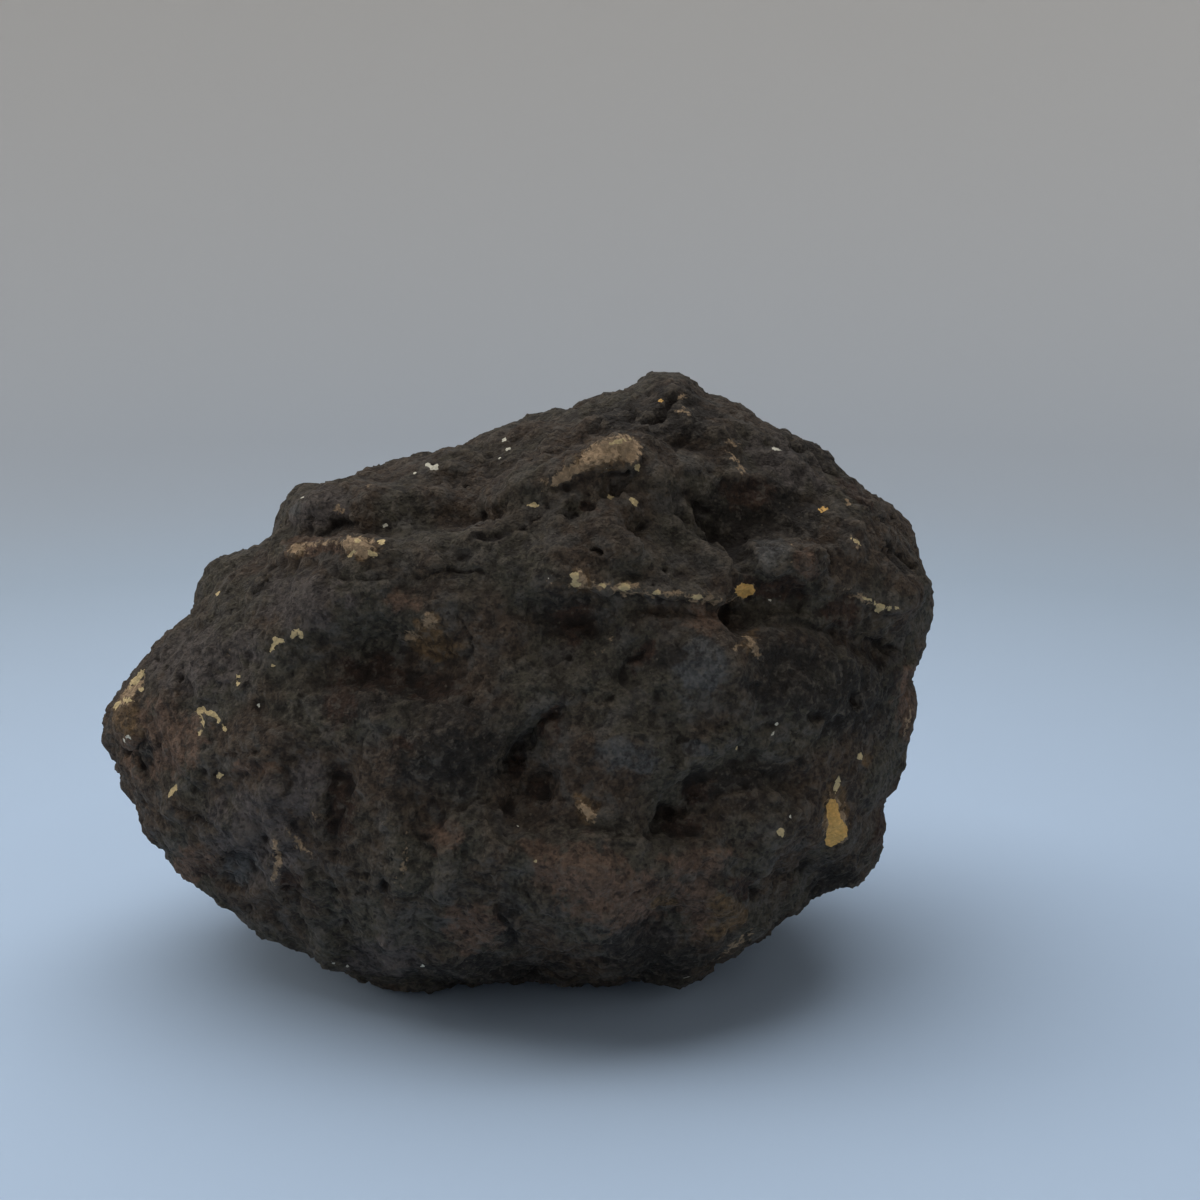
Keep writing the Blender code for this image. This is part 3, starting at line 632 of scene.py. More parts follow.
def set_stops(ramp, stops):
    """Gives a ramp its (position, colour) stops."""
    for extra in list(ramp.elements)[2:]:
        ramp.elements.remove(extra)
    while len(ramp.elements) < len(stops):
        ramp.elements.new(0.5)
    for element, (position, colour) in zip(ramp.elements, stops):
        element.position = position
        element.color = colour


# %% Words of the language: noise, cells, steps and vectors
def noise(place, size, octaves=3, roughness=0.55):
    """Fractal noise around 0.5, whose lumps are about size mm. place is in mm."""
    sockets = {"Vector": place, "Scale": 1 / size, "Detail": octaves - 1, "Roughness": roughness}
    return place.bench.node("ShaderNodeTexNoise", {}, sockets)


def cells(place, size):
    """The distance to the nearest of scattered points that are about size mm apart."""
    return place.bench.node("ShaderNodeTexVoronoi", {}, {"Vector": place, "Scale": 1 / size})


def each_cell(place, size):
    """A number from 0 to 1 for each of the crisp grains, about size mm wide, that fill space."""
    return place.bench.node("ShaderNodeSeparateXYZ", {}, {0: cells(place, size).output("Color")})


def smooth_step(value, low, high):
    """0 below low, 1 above high, and a smooth rise between them."""
    sockets = {"Value": value, "From Min": low, "From Max": high}
    return value.bench.node("ShaderNodeMapRange", {"interpolation_type": "SMOOTHSTEP"}, sockets)


def vector(operation, first, second):
    return first.bench.node("ShaderNodeVectorMath", {"operation": operation}, {0: first, 1: second})


def shifted(place, x, y, z):
    """The place moved by some mm, so that what is made from it differs from its neighbours."""
    return vector("ADD", place, (x, y, z))


def scaled(wire, factor):
    return wire.bench.node("ShaderNodeVectorMath", {"operation": "SCALE"}, {0: wire, "Scale": factor})


def bent(place, size, amount):
    """The place pushed about by up to half of amount mm, in waves of size mm."""
    sockets = {"Vector": place, "Scale": 1 / size, "Detail": 1.0}
    waves = place.bench.node("ShaderNodeTexNoise", {}, sockets).output("Color")
    return vector("ADD", place, scaled(vector("SUBTRACT", waves, (0.5, 0.5, 0.5)), amount))


# %% [markdown]
# ## The relief as geometry
# Seen from near by, the crust is uneven at every scale: broad lumps, rounded bosses and small
# knobs with creases between them, grit, thin flakes that have come away, streaks that hang
# down the belly, and hundreds of pits. All of them follow the surface, so a Geometry Nodes tree
# makes them, together with the drawn marks: it moves each point of the skin along its normal.
# Pits are scattered points with a radius each, and the skin sinks towards the nearest one. Only
# then is it thinned, which keeps small faces where the relief is sharp.

# %% The relief tree's sizes, in mm unless said
RELIEF = {
    "Lump size": 7.0,
    "Lump rise": 1.2,
    "Boss size": 4.6,
    "Boss rise": 1.0,
    "Knob size": 1.9,
    "Knob rise": 0.5,
    "Grit size": 0.9,
    "Grit rise": 0.34,
    "Flake size": 7.0,
    "Flake rise": 0.45,
    "Streak rise": 0.9,
    "Large pits per cm2": 0.4,
    "Small pits per cm2": 3.6,
    "Calm share": 0.35,
    "Drawn share": 0.8,
    "Underside dent": 1.4,
}
RELIEF_SEED = 11
PIT_KINDS = {  # the share outside pitted patches, least and greatest radius in mm, depth by radius
    "Large pits per cm2": (0.35, 0.7, 1.6, 0.4),
    "Small pits per cm2": (0.4, 0.3, 0.8, 0.6),
}
PIT_FLOOR = 0.8  # where a pit has its full depth, from 0 on the edge to 1 in the middle
ZONE_EDGE = (0.36, 0.60)  # the noise levels over which a zone of bosses or knobs begins
BOSS_ZONES = (16.0, 0.4)  # the zones' size in mm, and the share of the bosses between them
KNOB_ZONES = (13.0, 0.35)
BILLOW_MEAN = 0.24
FLAKE_LAYERS = 7.0  # steps that the whole range of the noise is cut into
FLAKE_EDGE = 0.18  # the share of a step over which its edge rises
STREAK_SIZE = 3.0  # mm
STREAK_STRETCH = (1.0, 1.0, 0.28)
DENT_SIZE = 9.0  # mm
UNDERSIDE = (0.75, 0.98)  # how far down a face looks where the dent begins, and where it is full
HOLLOW_ROUNDS = 14  # rounds of blurring, beside which the small hollows show
BOWL_ROUNDS = 90  # and the wide ones
CRUST = bpy.data.materials.new("weathered crust")


# %% Numbers kept on the points
def keep(bench, surface, name, value):
    """Keeps a number on each point, so that it is worked out only once."""
    return bench.node("GeometryNodeStoreNamedAttribute", {"data_type": "FLOAT", "domain": "POINT"},
                      {"Geometry": surface, "Name": name, "Value": value})


def stored(bench, name):
    """A number that was kept on each point."""
    return bench.node("GeometryNodeInputNamedAttribute", {"data_type": "FLOAT"}, {"Name": name})


def blurred(bench, kind, value, rounds):
    """A value of each point, averaged with its neighbours some rounds over."""
    return bench.node("GeometryNodeBlurAttribute", {"data_type": kind},
                      {"Value": value, "Iterations": rounds})


# %% A field of pits
def pit_field(bench, surface, place, per_cm2, smallest, widest, seed):
    """1 in the middle of the nearest pit, 0 outside it, and the pit's radius in mm."""
    spots = bench.node("GeometryNodeDistributePointsOnFaces", {},
                       {"Mesh": surface, "Density": per_cm2 * 10000.0, "Seed": seed})
    chance = bench.node("FunctionNodeRandomValue", {"data_type": "FLOAT"},
                        {"Min": 0.0, "Max": 1.0, "Seed": seed})
    spots = keep(bench, spots, "pit radius", smallest + (widest - smallest) * chance ** 2.5)
    nearest = bench.node("GeometryNodeSampleNearest", {"domain": "POINT"},
                         {"Geometry": spots, "Sample Position": scaled(place, MM)})

    def of_nearest(kind, value):
        return bench.node("GeometryNodeSampleIndex", {"data_type": kind, "domain": "POINT"},
                          {"Geometry": spots, "Value": value, "Index": nearest})

    radius = of_nearest("FLOAT", stored(bench, "pit radius"))
    centre = of_nearest("FLOAT_VECTOR", bench.node("GeometryNodeInputPosition"))
    gap = vector("DISTANCE", place, scaled(centre, 1 / MM)).output("Value")
    return smooth_step(1 - gap / radius, 0.0, PIT_FLOOR), radius


# %% Creased noise, and the zones that it is strong in
def billow(place, size):
    """Rounded bosses about size mm wide, with sharp creases between them, 0 on average."""
    waves = (noise(place, size, 2, 0.5) - 0.5) * 2
    return waves.math("ABSOLUTE", waves) - BILLOW_MEAN


def zones(place, size, least):
    """A share that goes from least to 1, in patches about size mm wide."""
    return least + (1 - least) * smooth_step(noise(place, size, 2), *ZONE_EDGE)


# %% The relief tree
def relief_tree():
    tree = bpy.data.node_groups.new("weathered relief", "GeometryNodeTree")
    tree.interface.new_socket("Geometry", in_out="INPUT", socket_type="NodeSocketGeometry")
    for name in RELIEF:
        tree.interface.new_socket(name, in_out="INPUT", socket_type="NodeSocketFloat")
    tree.interface.new_socket("Geometry", in_out="OUTPUT", socket_type="NodeSocketGeometry")
    bench = Bench(tree)
    given = bench.node("NodeGroupInput")
    surface = given.output("Geometry")
    size = {name: given.output(name) for name in RELIEF}

    place = scaled(bench.node("GeometryNodeInputPosition"), 1 / MM)
    normal = bench.node("GeometryNodeInputNormal")
    calm, pitted, streaked, drawn = (
        stored(bench, name) for name in ("calm", "pitted", "streaked", "drawn"))
    quiet = 1 - (1 - size["Calm share"]) * calm

    frayed = bent(place, 0.8, 0.7)
    pits = 0.0
    for number, (name, (rest, smallest, widest, share)) in enumerate(PIT_KINDS.items()):
        inside, radius = pit_field(bench, surface, frayed, size[name] * (rest + pitted),
                                   smallest, widest, RELIEF_SEED + number)
        pits = inside * radius * share + pits
    surface = keep(bench, surface, "pit", pits)

    swirled = bent(place, 3.0, 2.4)
    lumps = (noise(place, size["Lump size"], 3) - 0.5) * 2 * size["Lump rise"]
    bosses = billow(swirled, size["Boss size"]) * size["Boss rise"]
    bosses = bosses * zones(shifted(place, 0, 0, 40), *BOSS_ZONES)
    knobs = billow(shifted(swirled, 9, 0, 0), size["Knob size"]) * size["Knob rise"]
    knobs = knobs * zones(shifted(place, 50, 0, 0), *KNOB_ZONES)
    grit = (noise(swirled, size["Grit size"], 3, 0.65) - 0.5) * 2 * size["Grit rise"]
    layers = noise(shifted(swirled, 0, 70, 0), size["Flake size"], 3) * FLAKE_LAYERS
    edge = smooth_step(layers.math("FRACT", layers), 0.0, FLAKE_EDGE)
    flakes = (layers.math("FLOOR", layers) + edge - layers) * size["Flake rise"]
    streaks = billow(vector("MULTIPLY", swirled, STREAK_STRETCH), STREAK_SIZE)
    streaks = streaks * size["Streak rise"] * streaked
    relief = (lumps + bosses + knobs + grit + flakes + streaks) * quiet

    looks_up = bench.node("ShaderNodeSeparateXYZ", {}, {0: normal}).output("Z")
    under = smooth_step(0 - looks_up, *UNDERSIDE)
    dent = noise(shifted(place, 0, 0, 90), DENT_SIZE, 2) * size["Underside dent"] * under
    relief = relief + drawn * size["Drawn share"] - stored(bench, "pit") - dent
    surface = keep(bench, surface, "relief", relief)

    relief = stored(bench, "relief")
    hollow = blurred(bench, "FLOAT", relief, HOLLOW_ROUNDS) - relief
    surface = keep(bench, surface, "hollow", hollow)
    sunk = vector("SUBTRACT", blurred(bench, "FLOAT_VECTOR", place, BOWL_ROUNDS), place)
    surface = keep(bench, surface, "bowl", vector("DOT_PRODUCT", sunk, normal).output("Value"))
    surface = bench.node("GeometryNodeSetPosition", {},
                         {"Geometry": surface, "Offset": scaled(normal, relief * MM)})
    surface = bench.node("GeometryNodeRealizeInstances", {}, {"Geometry": surface})
    surface = bench.node("GeometryNodeSetMaterial", {}, {"Geometry": surface, "Material": CRUST})
    bench.node("NodeGroupOutput", {}, {"Geometry": surface})
    return tree


# %% Weather the skin, then thin it
FINEST = 196000  # triangles

weathering = stone.modifiers.new("weathered relief", "NODES")
weathering.node_group = relief_tree()
for item in weathering.node_group.interface.items_tree:
    if item.in_out == "INPUT" and item.name in RELIEF:
        weathering[item.identifier] = RELIEF[item.name]
thinning = stone.modifiers.new("thinned", "DECIMATE")
thinning.ratio = FINEST / (2 * len(stone.data.polygons))
thinning.use_collapse_triangulate = True
apply_modifiers(stone)
print("the weathered skin has", len(stone.data.polygons), "triangles")
print("it keeps", sorted(attribute.name for attribute in stone.data.attributes))

# %% [markdown]
# ## Back inside its size
# Relief moves points outwards too, and the stone must stay the size that was measured. Points
# that pass the solid's box are brought back to its sides, which touches only the few highest
# knobs, and underneath it leaves small level spots that the stone rests on.

# %% Keep the skin inside the solid's box
points = read_points(stone.data)
low, high = (np.array(corner) / MM for corner in solid_box)
passed = int(((points < low) | (points > high)).any(axis=1).sum())
points = np.clip(points, low, high)
stone.data.vertices.foreach_set("co", (points * MM).astype(np.float32).ravel())
stone.data.update()
stone.data.shade_smooth()
print(passed, "points were brought back inside the box")

# %% [markdown]
# ## Paint by place
# Now that the skin is final, each of its points keeps how strongly every stain shows there.
# The mineral flecks are crisp chips of 1 to 4 mm, so they keep a number that crosses zero on
# the chip's edge, which the material later cuts sharply and frays with noise. Around the
# largest ones lies a thin skin of the same mineral, the veil, which is cut softly.

# %% Flecks: right, up, half length and half width in mm, then the turn if any
FRONT_FLECKS = {
    "cream": [
        (-22.4, 15.8, 0.7, 0.5, 20), (-21.4, 17.6, 0.5, 0.6), (-19.6, 15.8, 0.8, 0.35, -25),
        (-18.3, 17.4, 0.6, 0.4), (-22.3, 19.2, 0.6, 0.3), (-40.2, 10.6, 0.4, 0.4),
        (-42.8, 8.6, 0.3, 0.3), (-41.8, 9.2, 0.3, 0.3), (-43.6, 7.9, 0.3, 0.3),
        (-32.5, 4.2, 0.6, 0.45, 20), (-31.6, 4, 0.4, 0.35), (-30.2, 4.9, 0.35, 0.5),
        (-29.6, 5.5, 0.5, 0.35), (-29, 4.9, 0.35, 0.5), (-33, 3, 0.4, 0.4), (-32.7, 1, 0.35, 0.35),
        (-37.4, -1.1, 0.35, 0.8), (-51, -0.9, 1.5, 0.5, 48), (-53.8, -4.4, 0.9, 0.4, 48),
        (-52.2, -3.7, 1, 0.35, 5), (-50.3, -2.3, 0.4, 0.35), (-42.4, -5.1, 0.7, 0.45, 20),
        (-40.9, -5.6, 0.7, 0.45, -10), (-40.2, -6.4, 0.5, 0.4, -40), (-39.3, -7.5, 0.45, 0.35, -50),
        (-42.4, -8.1, 0.4, 0.35), (-42.2, -6.6, 0.35, 0.4), (-39.8, -13.8, 0.5, 0.5),
        (-46.2, -15.9, 1.1, 0.35, 54), (7.4, 12.7, 0.6, 0.9, -30), (11.4, 11.5, 0.9, 0.35, -10),
        (14.3, 11.3, 0.8, 0.55, -5), (12.3, 23.5, 0.5, 0.5), (15.5, 22.7, 0.7, 0.35, -45),
        (2, 22.3, 0.8, 0.35), (24.2, 38.2, 0.35, 0.3), (38.2, 30.4, 0.5, 0.3), (48.4, 8.7, 0.6, 0.5),
        (50.2, 8.5, 1, 0.3, -5), (46.9, 9.6, 1, 0.35, -18), (46.4, 1.4, 0.4, 0.4),
        (45.7, -11.3, 0.45, 0.5), (42.6, -15, 0.35, 1.5, -17), (45.1, 17.4, 0.9, 0.25, -35),
        (36, 9.4, 0.3, 0.25), (48.2, 8.4, 0.7, 0.55), (7.6, 11.8, 0.7, 0.5),
        (13.4, 30.8, 1.4, 0.35, 15), (18.4, 10.6, 0.7, 0.3), (24, 10, 0.8, 0.3, -5),
        (29.3, -10.2, 0.3, 0.3), (28.3, -36.2, 0.5, 0.35), (2.2, -25.2, 0.3, 0.3),
        (35, -21.3, 0.5, 0.7, 20), (15.9, 27.4, 0.35, 0.5), (-28.2, -15.2, 0.35, 0.35),
    ],
    "amber": [
        (30.3, 10.9, 1.35, 1, -5), (42, -18.8, 0.9, 1.9, 5), (42.6, -21.2, 1.4, 1.5),
        (41.9, -22.6, 1, 1.1), (40.6, 21.7, 0.6, 0.35, 12), (45.9, 1.9, 0.35, 0.4),
        (28.5, 35.5, 0.55, 0.32), (19, 36.3, 0.35, 0.3), (-40.8, -6, 0.3, 0.3),
    ],
    "white": [
        (-11.2, 27.4, 0.7, 0.42, 5), (-12.1, 27.7, 0.4, 0.32), (-14, 26.8, 0.4, 0.32),
        (-2.5, 28.7, 0.3, 0.3), (-1.4, 29.9, 0.4, 0.32), (-0.3, 28.9, 0.3, 0.3), (-1.9, 31, 0.3, 0.3),
        (0.4, 30.2, 0.3, 0.3), (-28.9, 23.4, 0.3, 0.28), (-21.3, 19.4, 0.45, 0.28),
        (-17.8, 19.6, 0.35, 0.28), (12, 27.2, 0.3, 0.28), (4.3, 12.6, 0.3, 0.28),
        (34.5, 29.8, 0.6, 0.28), (33.7, 9.5, 0.45, 0.28, -30), (34.6, -7, 0.35, 0.3),
        (33.8, -8.2, 0.32, 0.3), (36.4, -19.3, 0.3, 0.38), (-34.7, -4.4, 0.28, 0.28),
        (-0.1, -20.7, 0.28, 0.28), (-22.9, -39.3, 0.3, 0.28), (-24.7, -38.9, 0.28, 0.28),
        (-21.9, -41.1, 0.3, 0.28), (-13.6, -41.1, 0.28, 0.28), (-12.8, -39.3, 0.28, 0.28),
        (3.3, -40.9, 0.45, 0.28), (24.7, -39.8, 0.7, 0.3, 10), (22.6, -41, 1.4, 0.3, 8),
        (27.5, -38.7, 1.6, 0.28, 27), (15.3, -9.4, 0.28, 0.28), (12.3, -12.2, 0.28, 0.28),
        (16.8, -11.2, 0.28, 0.28), (-52.1, -8.7, 0.45, 0.4), (-52.8, -9.2, 0.35, 0.3),
    ],
    "veil": [
        (11.8, 29.6, 3.6, 1.5, 22), (14.8, 29.6, 1.6, 1.8), (6, 26.2, 3, 0.8, 25),
        (-21.4, 16.8, 2.2, 1.4, -20), (8, 12.4, 1, 1.2, -30), (14.4, 11.2, 1.4, 0.8),
        (42.4, -20.4, 1.5, 3.4, 5), (30.3, 10.9, 1.2, 0.9), (-29.5, 16.5, 1.3, 0.7, 5),
        (-25, 17.2, 3.4, 0.3, 2), (20.3, 10.5, 1.8, 0.4, -2), (25.2, 9.8, 3.2, 0.5, -5),
        (11, 11.5, 4.4, 0.5, -8), (22, 37, 0.5, 0.4), (17, 10.6, 3, 0.4, -4), (46, 9.9, 2.2, 0.4, -25),
        (8.6, 27.8, 3, 0.8, 34), (22, 34.8, 0.7, 0.4), (23, 38.5, 0.5, 0.4), (28.5, 30.5, 0.6, 0.4),
        (29, 28.5, 0.9, 0.4, -45), (29.8, 27.2, 0.5, 0.35, -45), (45, 17.2, 0.8, 0.35, -35),
        (44, 22.8, 0.4, 0.35), (47.2, 20.8, 0.35, 0.35), (36.3, 17.6, 0.35, 0.3), (37, 14.2, 0.35, 0.3),
        (31, 4, 0.5, 1.9, 30), (28.8, 3, 0.4, 0.4), (-32.3, -25.5, 0.5, 3.2),
        (-29.6, -22.6, 2.2, 0.45, -50), (-15.5, -25.8, 0.35, 1.9, -8), (9.2, -18.6, 1.6, 0.8, -55),
        (-12, 6.9, 1.1, 0.9), (-14.5, 4.8, 1.1, 0.7), (10.8, 2.6, 0.4, 0.35), (12.5, 4.3, 0.4, 0.35),
        (52.3, -6.5, 0.5, 2.4, -15), (-38.5, 2.5, 0.5, 0.4), (-51.9, -2.6, 2.4, 0.9, 50),
        (-24, 21.6, 0.5, 0.35), (-20, 25.2, 0.5, 0.35), (-27.2, -19, 0.4, 0.35),
        (29, -36.6, 2.6, 0.4, 38),
    ],
}
BACK_FLECKS = {
    "cream": [
        (-14, 12, 1.2, 0.8, 20), (-12, 11, 0.7, 0.5), (-16.5, 10, 0.5, 0.6), (22, -6, 1.4, 0.8, -30),
        (24.5, -7.5, 0.6, 0.5), (36, 12, 1.2, 0.5, 40), (-34, -14, 0.7, 1), (-32, -16, 0.5, 0.4),
        (4, 22, 1.6, 0.6, 5), (-27, -4, 0.5, 0.4), (14, -20, 0.6, 0.4), (9, 31, 0.8, 0.4, 10),
    ],
    "amber": [
        (30, -16, 0.9, 1.7, 10), (-24, 4, 1.1, 0.7), (2, 8, 0.5, 0.4),
    ],
    "white": [
        (-2, -18, 0.8, 0.4, 10), (0.5, -18.5, 0.5, 0.3), (-40, 8, 0.5, 0.4), (12, 26, 0.6, 0.4),
        (42, -4, 0.4, 0.5), (-20, -28, 0.4, 0.3),
    ],
    "veil": [
        (-18, 16, 5, 0.9), (12, -12, 5, 0.7, -10), (40, 8, 0.9, 3.4, 10), (-8, 2.8, 4, 0.5, -5),
        (30, 24, 2.4, 1.2, -40),
    ],
}
FAR_OFF = -1.0  # mm


def fleck_shape(name, front, back):
    """How far inside a fleck's edge each point is, in mm, and below 0 outside it."""
    shape = np.full(len(front), FAR_OFF)
    for places, flecks in ((front, FRONT_FLECKS), (back, BACK_FLECKS)):
        for fleck in flecks[name]:
            right, up, half_length, half_width = fleck[:4]
            inside = 1 - oval(places, *fleck)
            gap = np.abs(places[:, 2] - depth_at(places, right, up)) - DEPTH_SLACK - half_length
            shape = np.maximum(shape, min(half_length, half_width) * inside - np.maximum(gap, 0))
    return shape


# %% Keep every stain and fleck on the final skin
front, back = front_sheet(points), back_sheet(points)
ragged_front, ragged_back = ragged(front, points), ragged(back, points)
for name in FRONT_STAINS_AND_SHADE:
    store(stone.data, name, stain_strength(name, ragged_front, ragged_back))
for name in FRONT_FLECKS:
    shape = fleck_shape(name, front, back)
    store(stone.data, name, shape)
    print(name, "flecks cover", round(100 * float((shape > 0).mean()), 2), "% of the points")

# %% [markdown]
# ## The crust's finish
# The crust is matte and dark, and its colour changes at every scale: patches a centimetre
# wide, blotches of 3 mm, and crisp grains of half a millimetre to one, each lighter or darker
# than the next. Painted shade darkens the hollows, the pits and the faces that look up, and
# what stands out is worn paler. The material starts from three earths, olive, brown and grey,
# and lays stains, grains, painted shade, wear and mineral flecks over them in turn, as a painter would.

# %% Colours, as linear light
OLIVE = (0.062, 0.053, 0.037, 1)
BROWN = (0.064, 0.043, 0.028, 1)
GREY = (0.063, 0.056, 0.048, 1)
STAIN_AND_SHADE_COLOURS = {
    "lilac": (0.080, 0.065, 0.057, 1),
    "pink": (0.118, 0.072, 0.047, 1),
    "bluish": (0.069, 0.066, 0.061, 1),
    # painted shade, not a stain
    "shade": (0.021, 0.017, 0.013, 1),
    "rust": (0.042, 0.023, 0.014, 1),
    "ochre": (0.128, 0.078, 0.037, 1),
}
FLECKS = {
    "veil": (0.34, 0.235, 0.14, 1),
    "cream": (0.60, 0.46, 0.24, 1),
    "amber": (0.74, 0.43, 0.13, 1),
    "white": (0.68, 0.64, 0.52, 1),
}
# a dark brown, used for random dark crusts and for painted shade
GRIME_AND_SHADE = (0.012, 0.008, 0.006, 1)
WORN = (0.125, 0.100, 0.074, 1)
PALE = (0.135, 0.115, 0.092, 1)


# %% Tones and edges
DARKEST = 0.13  # the ground's tone where nothing brightens it
TONES = {"blotches": 0.30, "mottle": 0.46, "grains": 0.26, "grit": 0.46, "coarse grit": 0.26}
SPREAD = (0.38, 0.62)  # the noise levels that a tone stretches to 0 and 1
CHIP = (0.05, 0.95, 0.65)  # how soft a fleck's edge is in mm, its cover, and its fraying in mm
VEIL = (0.45, 0.85, 2.6)
RAGGED_STAIN = 2.2  # how far the frays push a stain's edge in and out


# %% Colour words of the language
def blend(below, above, share):
    """Lays one colour over another by a share from 0 to 1."""
    sockets = {"Factor": share, "A": below, "B": above}
    return share.bench.node("ShaderNodeMix", {"data_type": "RGBA"}, sockets)


def tinted(colour, factor):
    """The colour made lighter or darker by a factor around 1."""
    return factor.bench.node("ShaderNodeVectorMath", {"operation": "SCALE"},
                             {0: colour if isinstance(colour, Wire) else colour[:3], "Scale": factor})


def attribute(bench, name):
    return bench.node("ShaderNodeAttribute", {"attribute_name": name}).output("Fac")


def empty_bench(material):
    """A bench for a material that holds no nodes yet."""
    material.use_nodes = True
    material.node_tree.nodes.clear()
    return Bench(material.node_tree)


# %% Ground colour: three earths mixed at two scales
crust = empty_bench(CRUST)
place = scaled(crust.node("ShaderNodeTexCoord").output("Object"), 1 / MM)
swirled = bent(place, 4.0, 3.0)
crumbled = bent(place, 1.1, 0.6)

patches = noise(swirled, 11.0, 3)
blotches = noise(shifted(swirled, 31, 0, 0), 3.2, 3, 0.6)
grains = noise(shifted(place, 0, 17, 0), 0.5, 2, 0.7)
colour = blend(OLIVE, BROWN, smooth_step(patches, 0.40, 0.60))
colour = blend(colour, GREY, smooth_step(blotches, 0.48, 0.66) * 0.8)

# %% Stains with frayed edges
frays = [noise(shifted(swirled, 0, 0, 23 * start), 2.2, 3, 0.7) for start in (1, 2, 3)]
# the kind called shade is painted shade, laid like the stains
for number, (name, stain_or_shade_colour) in enumerate(STAIN_AND_SHADE_COLOURS.items()):
    fray = frays[number // 2] if number % 2 else 1 - frays[number // 2]
    strength = attribute(crust, name)
    only_near = strength.math("MINIMUM", strength * 3, 1.0)
    share = smooth_step(strength + (fray - 0.5) * RAGGED_STAIN, 0.2, 0.8) * only_near
    colour = blend(colour, stain_or_shade_colour, share * 0.95)
print("the ground has", len(STAIN_AND_SHADE_COLOURS), "stains over three earths")

# %% Light and dark at the grain's scale
hollow = attribute(crust, "hollow")
bowl = attribute(crust, "bowl")
pit = attribute(crust, "pit")
mottle = noise(shifted(place, 0, 43, 0), 1.2, 3, 0.65)
crusts = noise(shifted(crumbled, 0, 0, 61), 1.8, 3, 0.7)
grit_grain = each_cell(crumbled, 0.5)
coarse_grain = each_cell(shifted(crumbled, 0, 9, 0), 1.15)
brighter = {
    "blotches": smooth_step(blotches, *SPREAD),
    "mottle": smooth_step(mottle, *SPREAD),
    "grains": smooth_step(grains, *SPREAD),
    "grit": grit_grain,
    "coarse grit": coarse_grain,
}
tone = DARKEST
for name, part in brighter.items():
    tone = tone + TONES[name] * part
colour = tinted(colour, tone)
colour = blend(colour, PALE, smooth_step(crusts, 0.57, 0.63) * (0.1 + 0.4 * grit_grain))
colour = blend(colour, GRIME_AND_SHADE, smooth_step(0.43 - crusts, 0.0, 0.05) * 0.5)
# painted shade: faces that look up are darkened, so the light from above shows less on the top
colour = blend(colour, GRIME_AND_SHADE, attribute(crust, "upward") * 0.38)

# %% Pinholes painted as dark dots of shade, and pale grains
speck = cells(shifted(crumbled, 3, 0, 0), 0.9)
# painted shade: tiny holes that the skin doesn't have, drawn only as dark dots
pinhole_shade = smooth_step(0.28 - speck, 0.0, 0.08) * smooth_step(coarse_grain, 0.45, 0.6)
grain_gap = cells(shifted(place, 5, 5, 5), 1.25)
pale_grains = smooth_step(0.17 - grain_gap, 0.0, 0.06) * smooth_step(mottle, 0.46, 0.58)

# %% Painted shade in the hollows and pits, wear on what stands out
# painted shade: hollows, creases and wide bowls are darkened where shade falls in them
hollow_shade = smooth_step(hollow + bowl * 0.25 + (grains - 0.5) * 0.3, 0.04, 0.42)
wear = smooth_step(0 - hollow - bowl * 0.15 + (grains - 0.5) * 0.6, 0.06, 0.5)
colour = blend(colour, GRIME_AND_SHADE, hollow_shade * 0.8)
# painted shade: the skin's pits are darkened as shade in them
colour = blend(colour, GRIME_AND_SHADE, smooth_step(pit, 0.1, 0.7) * 0.6)
colour = blend(colour, GRIME_AND_SHADE, pinhole_shade * 0.55)
colour = blend(colour, WORN, wear * 0.5)
colour = blend(colour, WORN, pale_grains * 0.55)

# %% Mineral flecks, cut sharply and frayed
chips = noise(crumbled, 0.8, 3, 0.65)
chip_shine = 0.6 + 0.8 * grains
# the veil is darker in the hollows too, by the same painted shade
veil_shine = (0.45 + 0.5 * grains + 0.6 * grit_grain) * (1 - 0.5 * hollow_shade)
for name, fleck_colour in FLECKS.items():
    softness, cover, fraying = VEIL if name == "veil" else CHIP
    shine = veil_shine if name == "veil" else chip_shine
    share = smooth_step(attribute(crust, name) + (chips - 0.45) * fraying, 0.0, softness)
    colour = blend(colour, tinted(fleck_colour, shine), share * cover)

# %% Bump for what is finer than the mesh
fine = noise(place, 0.45, 3, 0.65)
coarse = noise(crumbled, 1.3, 3, 0.65)
bluish = attribute(crust, "bluish")
height = (coarse * 0.6 + fine * 0.42 + grit_grain * 0.1) * (1 - 0.5 * bluish)
normal = crust.node("ShaderNodeBump", {}, {"Strength": 1.0, "Distance": MM, "Height": height})

# %% The shader
roughness = 0.93 - 0.3 * smooth_step(bluish, 0.2, 0.8) * smooth_step(fine, 0.4, 0.6)
shader = crust.node("ShaderNodeBsdfPrincipled", {}, {
    "Base Color": colour,
    "Roughness": roughness,
    "Specular IOR Level": 0.35,
    "Normal": normal,
})
crust.node("ShaderNodeOutputMaterial", {}, {"Surface": shader})
print("the crust's material has", len(CRUST.node_tree.nodes), "nodes")

# %% [markdown]
# ## The stage
# The stone stands on a pale blue floor that curves up into a plain grey wall. A flat plane
# would show a hard horizon, so the stage is one turned profile: a level disc, a round bend and
# a wall, in one matte paint whose colour goes by the distance from the stone. That colour holds
# painted light: the floor is brightest and bluest near the stone and darker towards the bend.
# It is the same from every side, so every view has the same backdrop.

# %% A turned stage, in m
FLOOR_RADIUS = 0.34
BEND_RADIUS = 0.30
WALL_TOP = 0.62
AROUND = 96
BEND_STEPS = 24

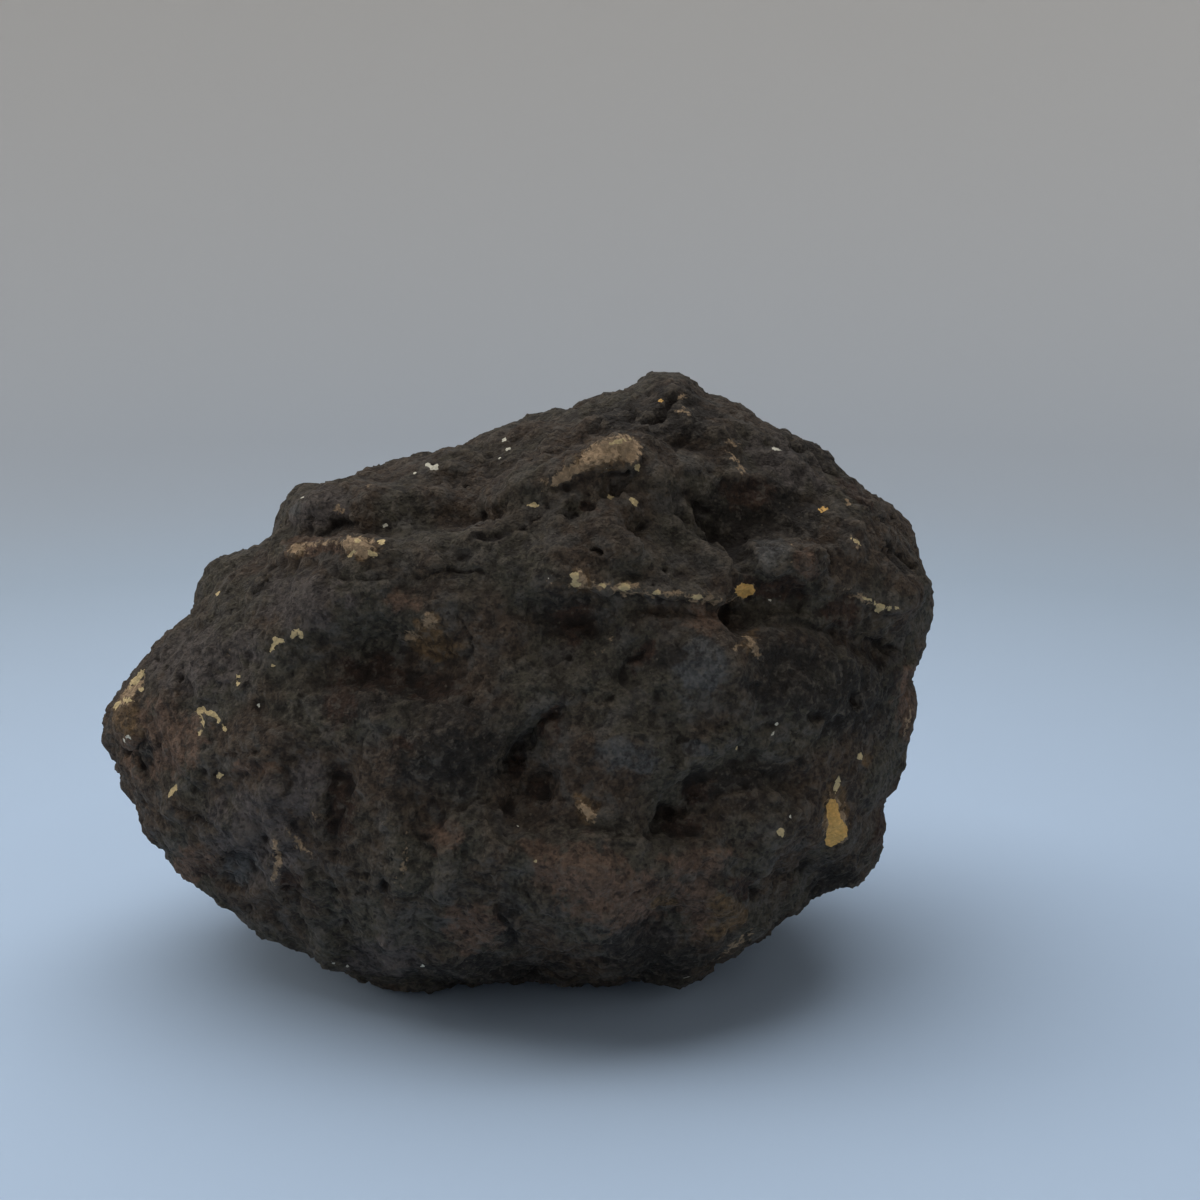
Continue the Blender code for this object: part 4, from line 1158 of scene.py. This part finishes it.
profile = [(0.0, 0.0), (FLOOR_RADIUS, 0.0)]
for step in range(1, BEND_STEPS + 1):
    angle = math.radians(90) * step / BEND_STEPS
    profile.append((FLOOR_RADIUS + BEND_RADIUS * math.sin(angle), BEND_RADIUS * (1 - math.cos(angle))))
profile.append((FLOOR_RADIUS + BEND_RADIUS, WALL_TOP))
turned = bmesh.new()
line = [turned.verts.new((x, 0, z)) for x, z in profile]
edges = [turned.edges.new(pair) for pair in zip(line, line[1:])]
bmesh.ops.spin(turned, geom=line + edges, cent=(0, 0, 0), axis=(0, 0, 1), angle=math.tau,
               steps=AROUND, use_duplicate=False)
bmesh.ops.remove_doubles(turned, verts=turned.verts, dist=SAME_SPOT)
bmesh.ops.recalc_face_normals(turned, faces=turned.faces)
stage_mesh = bpy.data.meshes.new("backdrop")
turned.to_mesh(stage_mesh)
turned.free()
stage_mesh.shade_smooth()
stage = placed("backdrop", stage_mesh)

# %% The stage's matte paint
REACH = 0.70  # m from the stone to the ramp's end
# painted light: the floor is brightest and bluest near the stone and darker out to the bend
PAINT_AND_LIGHT_RAMP = [  # the place on the ramp, from 0 to 1, and the colour there
    (0.14, (0.46, 0.575, 0.73, 1)),
    (0.38, (0.365, 0.44, 0.53, 1)),
    (0.60, (0.37, 0.40, 0.44, 1)),
    (0.92, (0.51, 0.49, 0.465, 1)),
]
paint = bpy.data.materials.new("backdrop paint")
backdrop = empty_bench(paint)
spot = backdrop.node("ShaderNodeTexCoord").output("Object")
far_off = vector("LENGTH", spot, (0.0, 0.0, 0.0)).output("Value")
paint_and_light_colour = backdrop.node("ShaderNodeValToRGB", {"stops": PAINT_AND_LIGHT_RAMP}, {0: far_off / REACH})
matte = backdrop.node("ShaderNodeBsdfPrincipled", {}, {
    "Base Color": paint_and_light_colour,
    "Roughness": 0.95,
    "Specular IOR Level": 0.2,
})
backdrop.node("ShaderNodeOutputMaterial", {}, {"Surface": matte})
stage_mesh.materials.append(paint)
print("the stage is", round(2 * (FLOOR_RADIUS + BEND_RADIUS), 2), "m across")

# %% [markdown]
# ## Soft light
# The stone is seen by a window: cool, broad light from above, from the left and a little
# behind, and only what the room gives back from elsewhere. One very large area light is the
# window. A small warm one fills from the left. It stands inside the wall, where the camera
# would see it, so it is hidden from the camera. A dim even world is the room.

# %% Lights
def area_light(name, place, target, size, power, colour):
    data = bpy.data.lights.new(name, "AREA")
    data.shape = "SQUARE"
    data.size = size
    data.energy = power
    data.color = colour
    lamp = placed(name, data)
    lamp.location = place
    lamp.rotation_euler = (Vector(target) - Vector(place)).to_track_quat("-Z", "Y").to_euler()
    return lamp


area_light("window", (-0.24, 0.36, 0.98), (0, 0, 0.03), 1.9, 22.0, (0.96, 0.98, 1.0))
fill = area_light("room fill", (-0.54, 0.06, 0.27), (0, 0, 0.04), 0.26, 0.65, (1.0, 0.95, 0.88))
fill.visible_camera = False

world = bpy.data.worlds.new("room")
world.use_nodes = True
world.node_tree.nodes["Background"].inputs["Color"].default_value = (0.95, 0.97, 1.0, 1)
world.node_tree.nodes["Background"].inputs["Strength"].default_value = 0.01
bpy.context.scene.world = world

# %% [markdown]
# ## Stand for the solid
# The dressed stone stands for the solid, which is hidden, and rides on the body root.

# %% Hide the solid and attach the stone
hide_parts("geode_stone")
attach(stone, "root")
